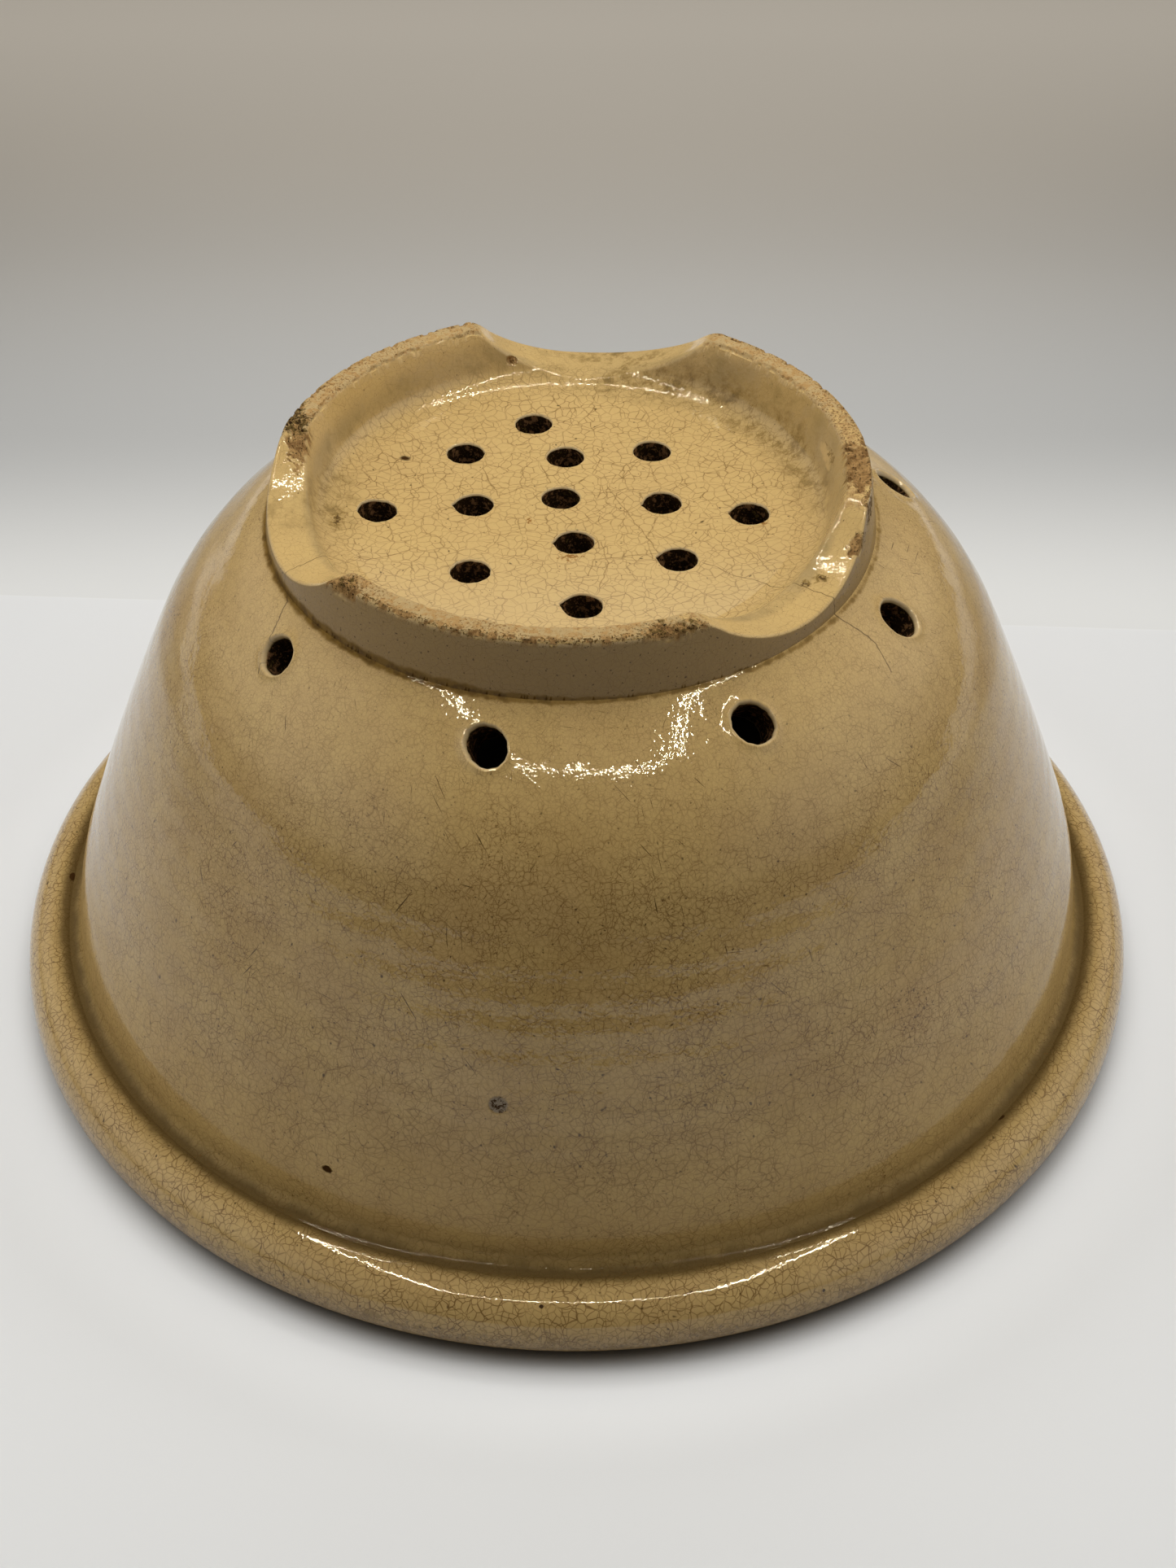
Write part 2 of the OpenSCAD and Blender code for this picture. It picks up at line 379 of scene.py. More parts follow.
# ---- Stage, light and camera, in metres, watts and degrees ----
# Lamps: place, point aimed at, width and depth, and power. A long soft box hangs behind the bowl, with
# weaker ones over it, before it, at its sides and low at the back.
LAMPS = {
    "box_behind": ((0.03, 0.16, 0.60), (0, 0, 0.05), (0.44, 0.20), 1.1),
    "box_over": ((0.0, -0.06, 0.62), (0, -0.06, 0), (0.46, 0.22), 0.28),
    "box_front": ((0.0, -0.36, 0.60), (0, -0.1, 0), (0.46, 0.16), 0.1),
    "side_left": ((-0.32, -0.04, 0.36), (0, -0.04, 0.1), (0.30, 0.34), 0.48),
    "side_right": ((0.32, -0.04, 0.36), (0, -0.04, 0.1), (0.30, 0.34), 0.45),
    "low_left": ((-0.34, -0.02, 0.12), (0, -0.04, 0.1), (0.30, 0.14), 0.06),
    "low_right": ((0.34, -0.02, 0.12), (0, -0.04, 0.1), (0.30, 0.14), 0.05),
    "back_wall": ((0.0, 0.34, 0.30), (0, 0, 0.1), (0.60, 0.30), 0.68),
}
# A frame of light strips hangs round them, which the glaze mirrors as thin bright lines: half its width, its
# front, back and height, and its corners' radius and number of straight pieces
FRAME_HALF = 0.2
FRAME_FRONT = -0.37
FRAME_BACK = 0.172
FRAME_Z = 0.571
FRAME_CORNER = 0.09
CORNER_PIECES = 5
STRIP_WIDTH = 0.003
STRIP_COLOUR = (1.0, 0.91, 0.66)
# Watts for a metre of strip, as the glaze mirrors it and as it lights the bowl
STRIP_MIRRORED = 2.2
STRIP_LIGHT = 0.26
ROOM_COLOUR = (1.0, 0.975, 0.92)
ROOM_STRENGTH = 0.075
# The room as it is seen behind the table, and its side walls as the glaze mirrors them
ROOM_SEEN = 0.7
ROOM_SIDES = 0.8
# Sideways and upward parts of a direction between which those walls come in
SIDE_START = (0.35, 0.9)
SIDE_UP = (-0.1, 0.4)
# The table: where the sweep behind it starts, and its paper beside the bowl, under it, where a contact shadow
# is painted, and on the sweep, painted darker than the table as shade and warmer towards the back
STAGE_SIZE = 6.0
SWEEP_START = 0.1232
SWEEP_LEAN = 0.057
SWEEP_STEP = 0.001
PAPER = (0.75, 0.75, 0.74)
PAPER_SHADOW = (0.05, 0.04, 0.03)
SWEEP_SHADE_NEAR = (0.5, 0.497, 0.48)
SWEEP_SHADE_FAR = (0.535, 0.486, 0.414)
SWEEP_SHADE_FADE = (0.2, 0.45)
# How much brighter it is seen than lit, as a share of its colour: the distances over which this changes, and
# its values there, from the bowl's side to its front, sideways (a factor), close to the rim (a factor,
# painted light that lifts the bowl's shadow there), and on the sweep where it meets the table and at its top
GLOW_FRONT = (0.02, -0.17, 0.055, 0.14)
GLOW_ASIDE = (0.1, 0.3, 1.0, 0.7)
GLOW_RIM_PAINTED_LIGHT = (0.155, 0.135, 1.0, 2.0)
GLOW_LINE = (0.225, 0.12, 0, 0.5)
GLOW_TOP = (0.33, 0.56, 0, 0.48)
# Beyond the camera's view the paper turns as bright as the room: the middle of that view, the distances
# from it over which this happens, and the glow there
FAR_CENTRE = (0, 0.2, 0)
FAR_FADE = (0.46, 0.85)
GLOW_FAR = 0.82
# Distances from the axis over which a painted contact shadow darkens the paper under the bowl, and over which
# the glow starts, so that no glow lifts that painted shadow
SHADOW_FADE = (0.1287, 0.124)
CONTACT_SHADOW = (0.1275, 0.133)
CAMERA_PLACE = (0, -0.3882, 0.3785)
CAMERA_DIP = 40.9
CAMERA_SWING = -0.39
CAMERA_LENS = 50.87
CAMERA_SENSOR = 36


def rgba(colour):
    """A plain colour with its alpha; a node's output stays as it is."""
    return (*colour, 1.0) if isinstance(colour, tuple) else colour


# ---- Plane curves ----
def normal(lean):
    """The direction that a surface with this lean faces."""
    angle = math.radians(lean)
    return np.array([math.cos(angle), math.sin(angle)])


def norms(rows):
    return np.linalg.norm(rows, axis=1)


def polar(radius, angle):
    return np.column_stack([radius * np.cos(angle), radius * np.sin(angle)])


def full_turn(count):
    """The angles, in radians, of a full turn in equal steps."""
    return np.radians(np.arange(count) * 360 / count)


def turned(profile, angle):
    """Points of a profile, or places on it, turned round the axis by an angle."""
    return np.column_stack([polar(profile[:, 0], angle), profile[:, 1]])


def arc(centre, radius, start, end, count=None):
    count = count or max(4, math.ceil(radius * math.radians(abs(end - start)) / STEP))
    return np.array(centre) + polar(radius, np.radians(np.linspace(start, end, count + 1)))


def oval(centre, across, up, start, count=18):
    """A quarter of an oval, from a start angle on."""
    angles = np.radians(np.linspace(start, start + 90, count + 1))
    return np.array(centre) + [across, up] * polar(1, angles)


def line(start, end, spacing=STEP):
    """A straight line as points no more than spacing apart."""
    start, end = np.array(start, float), np.array(end, float)
    count = max(1, math.ceil(np.linalg.norm(end - start) / spacing))
    return start + (end - start) * np.linspace(0, 1, count + 1)[:, None]


def bend(start, corner, end, count):
    """A rounded corner as a soft curve from start to end."""
    t = np.linspace(0, 1, count + 1)[:, None]
    return (1 - t) ** 2 * np.array(start) + 2 * t * (1 - t) * np.array(corner) + t**2 * np.array(end)


def chain(*curves):
    """Joins curves end to end, keeping one point where two meet."""
    return np.vstack([curves[0]] + [curve[1:] for curve in curves[1:]])


class Circle:
    """A circle of the bowl's section, which passes a point where the surface has a given lean."""

    def __init__(self, point, lean, radius):
        self.centre = point - radius * normal(lean)
        self.radius = radius

    def point(self, lean, inwards=0.0):
        return self.centre + (self.radius - inwards) * normal(lean)

    def arc(self, start, end, count=None, inwards=0.0):
        return arc(self.centre, self.radius - inwards, start, end, count)


class Bowl:
    """The wall's inner and outer curves, worked out the way part.scad does it."""

    outer_r = GROOVE_R - GROOVE_FILLET
    inner_r = outer_r - WALL_T
    belly = Circle([outer_r, SEAT_Z], 0, BELLY_H / math.sin(math.radians(BELLY_LEAN)))
    side_foot = belly.point(BELLY_LEAN)
    side_h = BASE_Z - SHOULDER_H - side_foot[1]
    side = Circle(side_foot, BELLY_LEAN, side_h / (normal(SHOULDER_LEAN)[1] - normal(BELLY_LEAN)[1]))
    shoulder_foot = side.point(SHOULDER_LEAN)
    run = shoulder_foot[0] - FOOT_R
    half_turn = math.degrees(math.atan2(run, SHOULDER_H)) - SHOULDER_LEAN
    top_lean = SHOULDER_LEAN + 2 * half_turn
    shoulder_radius = math.hypot(run, SHOULDER_H) / (2 * math.sin(math.radians(half_turn)))
    shoulder = Circle(shoulder_foot, SHOULDER_LEAN, shoulder_radius)
    dome_foot = side.point(SHOULDER_LEAN, WALL_T)
    dome_radius = (BASE_Z - FLOOR_T - dome_foot[1]) / (1 - normal(SHOULDER_LEAN)[1])
    dome = Circle(dome_foot, SHOULDER_LEAN, dome_radius)
    split_lean = math.degrees(math.acos((RECESS_R - dome.centre[0]) / dome_radius))
    hole_lean = math.degrees(math.asin((BASE_Z - WALL_HOLE_DROP - shoulder.centre[1]) / shoulder_radius))


# ---- Hand-made unevenness ----
def ramp(x, low, high):
    """Smooth step from 0 at low to 1 at high."""
    t = np.clip((np.asarray(x, float) - low) / (high - low), 0, 1)
    return t * t * (3 - 2 * t)


def noise_at(points, scale, seed, octaves=3):
    """Soft noise between about -1 and 1; scale is the size of its features."""
    shift = Vector((seed * 17.3, seed * 5.1, seed * 9.7))
    return np.array([noise.fractal(Vector(p) / scale + shift, 1.0, 2.0, octaves) for p in points])


def unevenness(points):
    """Moves points the little that a hand-turned bowl is off: it leans, it isn't quite round, and its wall
    keeps the throwing rings. Neighbouring members move alike, so they stay in touch."""
    moved = points.copy()
    x, y, z = points.T
    radius = np.hypot(x, y)
    turn = np.arctan2(y, x)
    foot = ramp(z, *WALL_ENDS)
    wall = ramp(z, *WALL_STARTS) * (1 - foot)
    lobes = sum(height * np.sin(count * turn + start) for count, height, start in LOBES)
    rings = RING_H * np.sin(2 * math.pi * z / RING_STEP + 0.8 * np.sin(turn)) * wall
    swell = (lobes * (LOBES_LEAST + (1 - LOBES_LEAST) * wall) + rings) * ramp(radius, *LOBES_START)
    scale = 1 + swell / np.maximum(radius, 1)
    moved[:, 0] = x * scale + WALL_OFF * wall + FOOT_OFF * foot
    moved[:, 1] = y * scale
    return moved


def skin_length(profile):
    """Place of each point along a profile, stretched where the radius is small, so that a pattern drawn on
    it and on the angle round the axis keeps its shape."""
    middles = (profile[1:, 0] + profile[:-1, 0]) / 2
    steps = norms(np.diff(profile, axis=0)) * SKIN_R / middles
    return np.concatenate([[0], np.cumsum(steps)])


# ---- Building closed meshes ----
class Clay:
    """Collects the surfaces of one member in millimetres and welds them into one closed mesh."""

    def __init__(self):
        self.points = []
        self.faces = []
        self.marks = {"raw": [], "grime": [], "along": [], "worn": [], "edge": []}

    def add(self, points, faces, **marks):
        """Adds points and faces. marks gives a value for each point: raw where the clay is broken, grime
        where dirt sits, worn on the holes' lips and the foot's crests, edge on the crests' outer edge, and
        along, its place along the profile."""
        start = sum(len(p) for p in self.points)
        self.points.append(np.asarray(points, float))
        for name, shares in self.marks.items():
            shares.append(marks.get(name, np.zeros(len(points))))
        self.faces += [tuple(start + i for i in face) for face in faces]

    def grid(self, points, closed=True, **marks):
        """Adds rows of points as quads; closed joins the last row to the first."""
        rows, columns = points.shape[:2]
        last = rows if closed else rows - 1
        faces = []
        for i in range(last):
            a, b = i * columns, (i + 1) % rows * columns
            faces += [(a + j, b + j, b + j + 1, a + j + 1) for j in range(columns - 1)]
        flat = {name: shares.reshape(-1) for name, shares in marks.items()}
        self.add(points.reshape(-1, 3), faces, **flat)

    def turn(self, profile, along=None):
        """Adds a profile turned round the axis."""
        along = skin_length(profile) if along is None else along
        points = np.array([turned(profile, angle) for angle in full_turn(TURNS)])
        self.grid(points, along=np.tile(along, (TURNS, 1)))

    def tube(self, rings, grime=0.0, worn=0.0, along=0.0):
        """Adds closed rings of points, one after another, as a tube. grime is each ring's share of dirt, worn
        how thin its glaze is, and along the place along the profile of each point of a ring."""
        size = (len(rings[0]), len(rings))
        grime = np.broadcast_to(grime, size)
        worn = np.broadcast_to(worn, size)
        along = np.broadcast_to(np.reshape(along, (-1, 1)), size)
        self.grid(np.array(rings).transpose(1, 0, 2), grime=grime, worn=worn, along=along)

    def mesh(self, name):
        """Welds the surfaces into a piece. name is its mesh's name; the piece itself is a PIECE_NAME."""
        points = unevenness(np.vstack(self.points))
        data = bpy.data.meshes.new(name)
        data.from_pydata((points * MM).tolist(), [], self.faces)
        for mark_name, shares in self.marks.items():
            mark = data.attributes.new(mark_name, "FLOAT", "POINT")
            mark.data.foreach_set("value", np.concatenate(shares))
        shape = bmesh.new()
        shape.from_mesh(data)
        bmesh.ops.remove_doubles(shape, verts=shape.verts, dist=0.01 * MM)
        bmesh.ops.recalc_face_normals(shape, faces=shape.faces)
        shape.to_mesh(data)
        shape.free()
        data.shade_smooth()
        data.set_sharp_from_angle(angle=math.radians(SHARP_ANGLE))
        piece = bpy.data.objects.new(PIECE_NAME, data)
        bpy.context.scene.collection.objects.link(piece)
        return piece


def triangulate(points, rings, outline):
    """Splits a flat sheet into triangles, leaving its round holes open. Gives the points and triangles."""
    everything = np.vstack([points, outline, *rings])
    edges = []
    start = len(points)
    for loop in [outline, *rings]:
        count = len(loop)
        edges += [(start + i, start + (i + 1) % count) for i in range(count)]
        start += count
    flat = [Vector(p) for p in everything]
    out, _, triangles, _, _, _ = geometry.delaunay_2d_cdt(flat, edges, [], 0, 1e-7)
    out = np.array([[p.x, p.y] for p in out])
    triangles = np.array(triangles)
    middles = out[triangles].mean(axis=1)
    keep = np.ones(len(triangles), bool)
    for ring in rings:
        centre = ring.mean(axis=0)
        ring_turn = np.arctan2(*(ring - centre).T[::-1])
        order = np.argsort(ring_turn)
        ring_reach = norms(ring - centre)[order]
        offset = middles - centre
        turn = np.arctan2(offset[:, 1], offset[:, 0])
        reach = np.interp(turn, ring_turn[order], ring_reach, period=2 * math.pi)
        keep &= norms(offset) > reach * 0.995
    return out, triangles[keep]


class Hole:
    """One hand-punched hole: not quite round, and torn by up to tear millimetres on one side."""

    def __init__(self, number, tear=0.0, lip=FLOOR_LIP):
        self.turns = full_turn(HOLE_TURNS)
        chance = np.random.default_rng(number)
        lobes = sum(
            chance.uniform(-LOBE_H, LOBE_H) * np.cos(count * self.turns + chance.uniform(0, 6.28))
            for count in HOLE_LOBES
        )
        off_left = np.abs(self.turns - math.pi - chance.uniform(-TEAR_SWING, TEAR_SWING))
        notch = tear / HOLE_R * np.exp(-off_left / TEAR_WIDTH)
        self.radius = HOLE_R * (1 + lobes + notch)
        self.lip = lip

    def clearance(self):
        """How far from the hole's centre the sheet's own points start."""
        return self.radius.max() + self.lip + 0.5 * STEP

    def ring(self, out=0.0):
        """Points of the hole's edge in its own plane, grown outwards by a distance."""
        return polar(self.radius + out, self.turns)


def bore(clay, hole, outside, inside, along=0.0, lip_steps=7, bore_steps=6):
    """Adds a hole's two lips, each a low bead of glaze that rounds into the hole, and the bore between them.
    outside(out) and inside(out) give the points on the two faces at a distance beyond the hole's edge, and
    along their places along the profile."""
    way = inside(0.0).mean(axis=0) - outside(0.0).mean(axis=0)
    way /= np.linalg.norm(way)

    def lip(face, into):
        rings = []
        for turn in np.linspace(0, math.pi / 2, lip_steps + 1):
            sunk = hole.lip * (1 - math.cos(turn) - BEAD * math.sin(2 * turn))
            rings.append(face(hole.lip * (1 - math.sin(turn))) + into * sunk)
        return rings

    first = lip(outside, way)
    last = lip(inside, -way)[::-1]
    between = [first[-1] + (last[0] - first[-1]) * t for t in np.linspace(0, 1, bore_steps + 1)[1:-1]]
    steps = np.arange(lip_steps + 1) / lip_steps
    dirt = ramp(steps, *LIP_DIRT)
    thin = ramp(steps, *LIP_THIN[0]) * ramp(steps, *LIP_THIN[1])
    clay.tube(
        [*first, *between, *last],
        np.concatenate([dirt, np.ones(len(between)), dirt[::-1]]),
        np.concatenate([thin, np.zeros(len(between)), thin[::-1]]),
        along,
    )


# ---- The four members ----
def make_rim_roll():
    rest_r = RIM_R - UNDER_CURL
    crown_r = RIM_R - CROWN_IN
    profile = chain(
        oval([rest_r, NOSE_Z], UNDER_CURL, NOSE_Z, -90),
        oval([crown_r, NOSE_Z], CROWN_IN, ROLL_TOP - NOSE_Z, 0),
        bend([crown_r, ROLL_TOP], [GROOVE_R + 0.8, ROLL_TOP], [GROOVE_R, SEAT_Z], 8),
        line([GROOVE_R, SEAT_Z], [Bowl.inner_r, SEAT_Z], 4),
        line([Bowl.inner_r, SEAT_Z], [Bowl.inner_r, LIP_H]),
        oval([rest_r - REST_W, LIP_H], rest_r - REST_W - Bowl.inner_r, LIP_H, 180, 8),
        line([rest_r - REST_W, 0], [rest_r, 0], 2),
    )
    clay = Clay()
    clay.turn(profile)
    return clay.mesh("glazed_rim")


def curve_reader(curve):
    """Gives the distances along a curve of its points, a reader of the point at a distance, and a reader of
    the distance of a point on it."""
    lengths = np.concatenate([[0], np.cumsum(norms(np.diff(curve, axis=0)))])

    def at(distance):
        return np.column_stack([np.interp(distance, lengths, curve[:, k]) for k in (0, 1)])

    def nearest(point):
        fine = np.linspace(0, lengths[-1], 4000)
        return fine[np.argmin(norms(at(fine) - point))]

    return lengths, at, nearest


def punched_band(clay, curve, holes, middle, start=0.0):
    """Adds a turned sheet with holes in it. middle is the point of the curve that the holes' axes pass, and
    start is the curve's own place along the profile. Gives, for each hole, a function that returns the
    sheet's points at a distance beyond its edge, and the places along the profile of its edge."""
    lengths, at, nearest = curve_reader(curve)
    length = lengths[-1]
    centre = nearest(middle)
    reference_r = middle[0]
    # The sheet is cut open at a column halfway between two holes
    cut = round(((WALL_HOLES[-1] + WALL_HOLES[0]) / 2 + 180) / 360 * TURNS) * 2 * math.pi / TURNS
    rows = np.linspace(0, length, max(2, math.ceil(length / STEP)) + 1)
    columns = np.arange(TURNS + 1) * 2 * math.pi / TURNS * reference_r
    grid = np.array([[column, row] for column in columns[1:-1] for row in rows[1:-1]])

    def spot(direction):
        return (math.radians(direction) - cut) % (2 * math.pi) * reference_r

    def flat_ring(hole, direction, out):
        ring = hole.ring(out)
        distance = centre + ring[:, 1]
        squeeze = reference_r / at(distance)[:, 0]
        return np.column_stack([spot(direction) + ring[:, 0] * squeeze, distance])

    def lift(flat):
        return turned(at(flat[:, 1]), flat[:, 0] / reference_r + cut)

    rings = [flat_ring(hole, direction, hole.lip) for direction, hole in holes]
    clear = np.ones(len(grid), bool)
    for direction, hole in holes:
        offset = grid - [spot(direction), centre]
        offset[:, 0] *= at(grid[:, 1])[:, 0] / reference_r
        clear &= norms(offset) > hole.clearance()
    flat, triangles = triangulate(grid[clear], rings, outline_of(columns, rows))

    def along(sheet):
        return start + np.interp(sheet[:, 1], lengths, skin_length(curve))

    clay.add(lift(flat), triangles.tolist(), along=along(flat))
    return [
        (lambda out, d=direction, h=hole: lift(flat_ring(h, d, out)), along(ring))
        for (direction, hole), ring in zip(holes, rings)
    ]


def outline_of(columns, rows):
    """The points round a rectangular sheet, in order."""
    low = [[c, rows[0]] for c in columns[:-1]]
    right = [[columns[-1], row] for row in rows[:-1]]
    high = [[c, rows[-1]] for c in columns[:0:-1]]
    left = [[columns[0], row] for row in rows[:0:-1]]
    return np.array(low + right + high + left)


def make_bowl_wall():
    shoulder_split = SHOULDER_LEAN + 12
    dome_split = SHOULDER_LEAN + 14
    outer = chain(
        arc([GROOVE_R, SEAT_Z + GROOVE_FILLET], GROOVE_FILLET, -90, -176, 7),
        Bowl.belly.arc(4, BELLY_LEAN),
        Bowl.side.arc(BELLY_LEAN, SHOULDER_LEAN),
        Bowl.shoulder.arc(SHOULDER_LEAN, shoulder_split),
    )
    shoulder = Bowl.shoulder.arc(shoulder_split, Bowl.top_lean, 60)
    dome = Bowl.dome.arc(Bowl.split_lean, dome_split, 60)
    inner = chain(
        Bowl.dome.arc(dome_split, SHOULDER_LEAN),
        Bowl.side.arc(SHOULDER_LEAN, BELLY_LEAN, inwards=WALL_T),
        Bowl.belly.arc(BELLY_LEAN, 0, inwards=WALL_T),
    )
    under_foot = chain(line([FOOT_R, BASE_Z], [RECESS_R, BASE_Z], 4), line([RECESS_R, BASE_Z], dome[0], 4))
    seat = line([Bowl.inner_r, SEAT_Z], [GROOVE_R, SEAT_Z], 4)
    curves = (outer, shoulder, dome[::-1], inner)
    outer_end, shoulder_end, dome_end, inner_end = (skin_length(curve)[-1] for curve in curves)
    clay = Clay()
    clay.turn(outer)
    clay.turn(under_foot, np.linspace(outer_end + shoulder_end, dome_end, len(under_foot)))
    clay.turn(inner)
    clay.turn(seat, np.linspace(inner_end, 0, len(seat)))
    spot = Bowl.shoulder.point(Bowl.hole_lean)
    track = spot - np.linspace(0, 20, 2001)[:, None] * normal(Bowl.hole_lean)
    gaps = norms(track - Bowl.dome.centre) - Bowl.dome.radius
    exit_point = track[np.argmin(np.abs(gaps))]
    holes = [(direction, Hole(100 + i, lip=WALL_LIP)) for i, direction in enumerate(WALL_HOLES)]
    outside = punched_band(clay, shoulder, holes, spot, outer_end)
    inside = punched_band(clay, dome[::-1], holes, exit_point)
    for (_, hole), (face, along), (back, _) in zip(holes, outside, inside):
        bore(clay, hole, face, back, along)
    return clay.mesh("glazed_wall")


def make_bowl_floor():
    holes = []
    for i, (share, direction, tear) in enumerate(FLOOR_HOLES):
        centre = polar(RECESS_R * share, math.radians(direction))[0]
        holes.append((centre, Hole(i, tear)))
    outline = polar(RECESS_R, full_turn(TURNS))
    reach = math.ceil(RECESS_R / STEP)
    row_h = STEP * math.sqrt(3) / 2
    columns, grid_rows = range(-reach, reach + 1), range(-reach - 8, reach + 9)
    grid = np.array([[(i + 0.5 * (j % 2)) * STEP, j * row_h] for i in columns for j in grid_rows])
    grid = grid[norms(grid) < RECESS_R - 0.6 * STEP]
    for centre, hole in holes:
        grid = grid[norms(grid - centre) >= hole.clearance()]
    flat, triangles = triangulate(grid, [centre + hole.ring(hole.lip) for centre, hole in holes], outline)

    def top(points):
        from_edge = RECESS_R - norms(points)
        dish = FLOOR_DISH * ramp(from_edge, *DISH_EDGE)
        return np.column_stack([points, BASE_Z - dish])

    def under(points):
        past = np.maximum(norms(points) - Bowl.dome.centre[0], 0)
        height = Bowl.dome.centre[1] + np.sqrt(Bowl.dome.radius**2 - past**2)
        return np.column_stack([points, height])

    clay = Clay()
    clay.add(top(flat), triangles.tolist())
    clay.add(under(flat), triangles.tolist())
    clay.tube([top(outline), under(outline)])
    for centre, hole in holes:
        faces = [lambda out, face=face: face(centre + hole.ring(out)) for face in (top, under)]
        bore(clay, hole, *faces)
    return clay.mesh("glazed_floor")


class Foot:
    """Section of the foot ring, and how high it stands in each direction."""

    crest_r = FOOT_R - FOOT_TAPER
    inner_r = crest_r - CREST_W
    hollow_r = RECESS_R + 5.6
    hollow_z = BASE_Z + 3.6

    @classmethod
    def outer(cls, height):
        return FOOT_R - FOOT_TAPER * (height - BASE_Z) / (CREST_Z - BASE_Z)

    @classmethod
    def inner(cls, height):
        """The ring's inner face: nearly straight, and hollowed out in a long curve to the floor."""
        up = (height - cls.hollow_z) / (CREST_Z - cls.hollow_z)
        face = cls.hollow_r + (cls.inner_r - cls.hollow_r) * up
        depth = np.clip((cls.hollow_z - height) / (cls.hollow_z - BASE_Z), 0, 1)
        return face - (cls.hollow_r - RECESS_R - 0.4) * (1 - np.sqrt(1 - depth**2.2)) ** 0.9

    @classmethod
    def top(cls, radius, direction):
        """Height of the ring: the crests' plane, lowered smoothly into the three arches."""
        height = np.full(np.broadcast(radius, direction).shape, CREST_Z, float)
        for middle, sill, clockwise, anticlockwise in ARCHES:
            swing = np.radians((direction - middle + 180) % 360 - 180)
            spread = np.where(swing < 0, clockwise, anticlockwise)
            share = np.clip(np.abs(swing) / spread * FOOT_R / ARCH_R, 0, 0.999)
            floor = BASE_Z + sill + ARCH_R * radius / FOOT_R * (1 - np.sqrt(1 - share**2))
            blend = np.clip(0.5 + 0.5 * (floor - height) / ARCH_SOFT, 0, 1)
            height = floor * (1 - blend) + height * blend - ARCH_SOFT * blend * (1 - blend) * 0.5
        return height


def chip_dents(points):
    """How deep a chip goes at each point."""
    depth = np.zeros(len(points))
    outline_size, ragged = CHIP_OUTLINE
    face_size, mean, change = CHIP_FACE
    for middle, reach, deepest in CHIPS:
        offset = (points - middle) / reach
        near = np.abs(offset).max(axis=1) < 1.6
        if near.any():
            edge = norms(offset[near]) + ragged * noise_at(points[near], outline_size, 3)
            rough = mean + change * noise_at(points[near], face_size, 8)
            dent = deepest * ramp(-edge, *CHIP_FADE) * np.clip(rough, 0.2, 1.6)
            depth[near] = np.maximum(depth[near], dent)
    return depth


def foot_section(direction):
    """The ring's closed section at a direction, and its height there."""

    def corner_of(face, top, most):
        """Where on a face the rounding of its corner starts, the corner, and how far the rounding goes."""
        soft = min(most, SOFT_SHARE * (top - BASE_Z))
        return np.array([face(top - soft), top - soft]), np.array([face(top), top]), soft

    outer_top = float(Foot.top(Foot.crest_r, direction))
    inner_top = outer_top
    for _ in range(4):
        inner_top = float(Foot.top(Foot.inner(inner_top), direction))
    outer_start, outer_corner, outer_soft = corner_of(Foot.outer, outer_top, OUTER_SOFT)
    inner_end, inner_corner, inner_soft = corner_of(Foot.inner, inner_top, INNER_SOFT)
    across = (inner_corner - outer_corner) / np.linalg.norm(inner_corner - outer_corner)
    outer_end = outer_corner + across * outer_soft
    inner_start = inner_corner - across * inner_soft
    outside, corner, land, inside = FOOT_STEPS
    heights = BASE_Z + (inner_end[1] - BASE_Z) * (1 - np.linspace(0, 1, inside + 1)) ** 2
    section = chain(
        np.linspace([FOOT_R, BASE_Z], outer_start, outside + 1),
        bend(outer_start, outer_corner, outer_end, corner),
        np.linspace(outer_end, inner_start, land + 1),
        bend(inner_start, inner_corner, inner_end, corner),
        np.column_stack([Foot.inner(heights), heights]),
        np.linspace([Foot.inner(BASE_Z), BASE_Z], [RECESS_R, BASE_Z], 2),
        np.linspace([RECESS_R, BASE_Z - SEAT_LAP], [FOOT_R, BASE_Z - SEAT_LAP], 5),
    )
    return section, outer_top


def make_foot_ring():
    columns = 3 * TURNS
    rows, lengths, worn = [], [], []
    for i in range(columns):
        direction = (i * 360 / columns + 180) % 360 - 180
        section, height = foot_section(direction)
        rows.append(turned(section, math.radians(direction)))
        length = skin_length(section)
        length[-1] = length[0]
        lengths.append(length)
        worn.append(ramp(CREST_Z - height, *WORN_DEPTHS))
    points = np.array(rows)
    worn = np.array(worn)[:, None]
    land, outer_edge, inner_edge = (
        worn * ramp(np.arange(points.shape[1]), *rise) * ramp(np.arange(points.shape[1]), *fall)
        for rise, fall in (LAND_STEPS, OUTER_EDGE_STEPS, INNER_EDGE_STEPS)
    )
    flat = points.reshape(-1, 3)
    nicks = NICK_DEPTH * ramp(noise_at(flat, NICK_SIZE, 5), *NICK_NOISE)
    broken = np.maximum(chip_dents(flat), nicks * outer_edge.reshape(-1))
    depth = np.maximum(broken, nicks * inner_edge.reshape(-1))
    flat_r = np.hypot(flat[:, 0], flat[:, 1])
    core_r = Foot.crest_r - 0.5 * CREST_W
    core = np.column_stack([flat[:, :2] / flat_r[:, None] * core_r, flat[:, 2] - CORE_DROP])
    inward = core - flat
    inward /= norms(inward)[:, None]
    dented = (flat + inward * depth[:, None]).reshape(points.shape)
    raw = ramp(broken, *RAW_DEPTHS).reshape(points.shape[:2])
    clay = Clay()
    clay.grid(dented, raw=raw, along=np.array(lengths), worn=land, edge=outer_edge)
    return clay.mesh("glazed_foot")


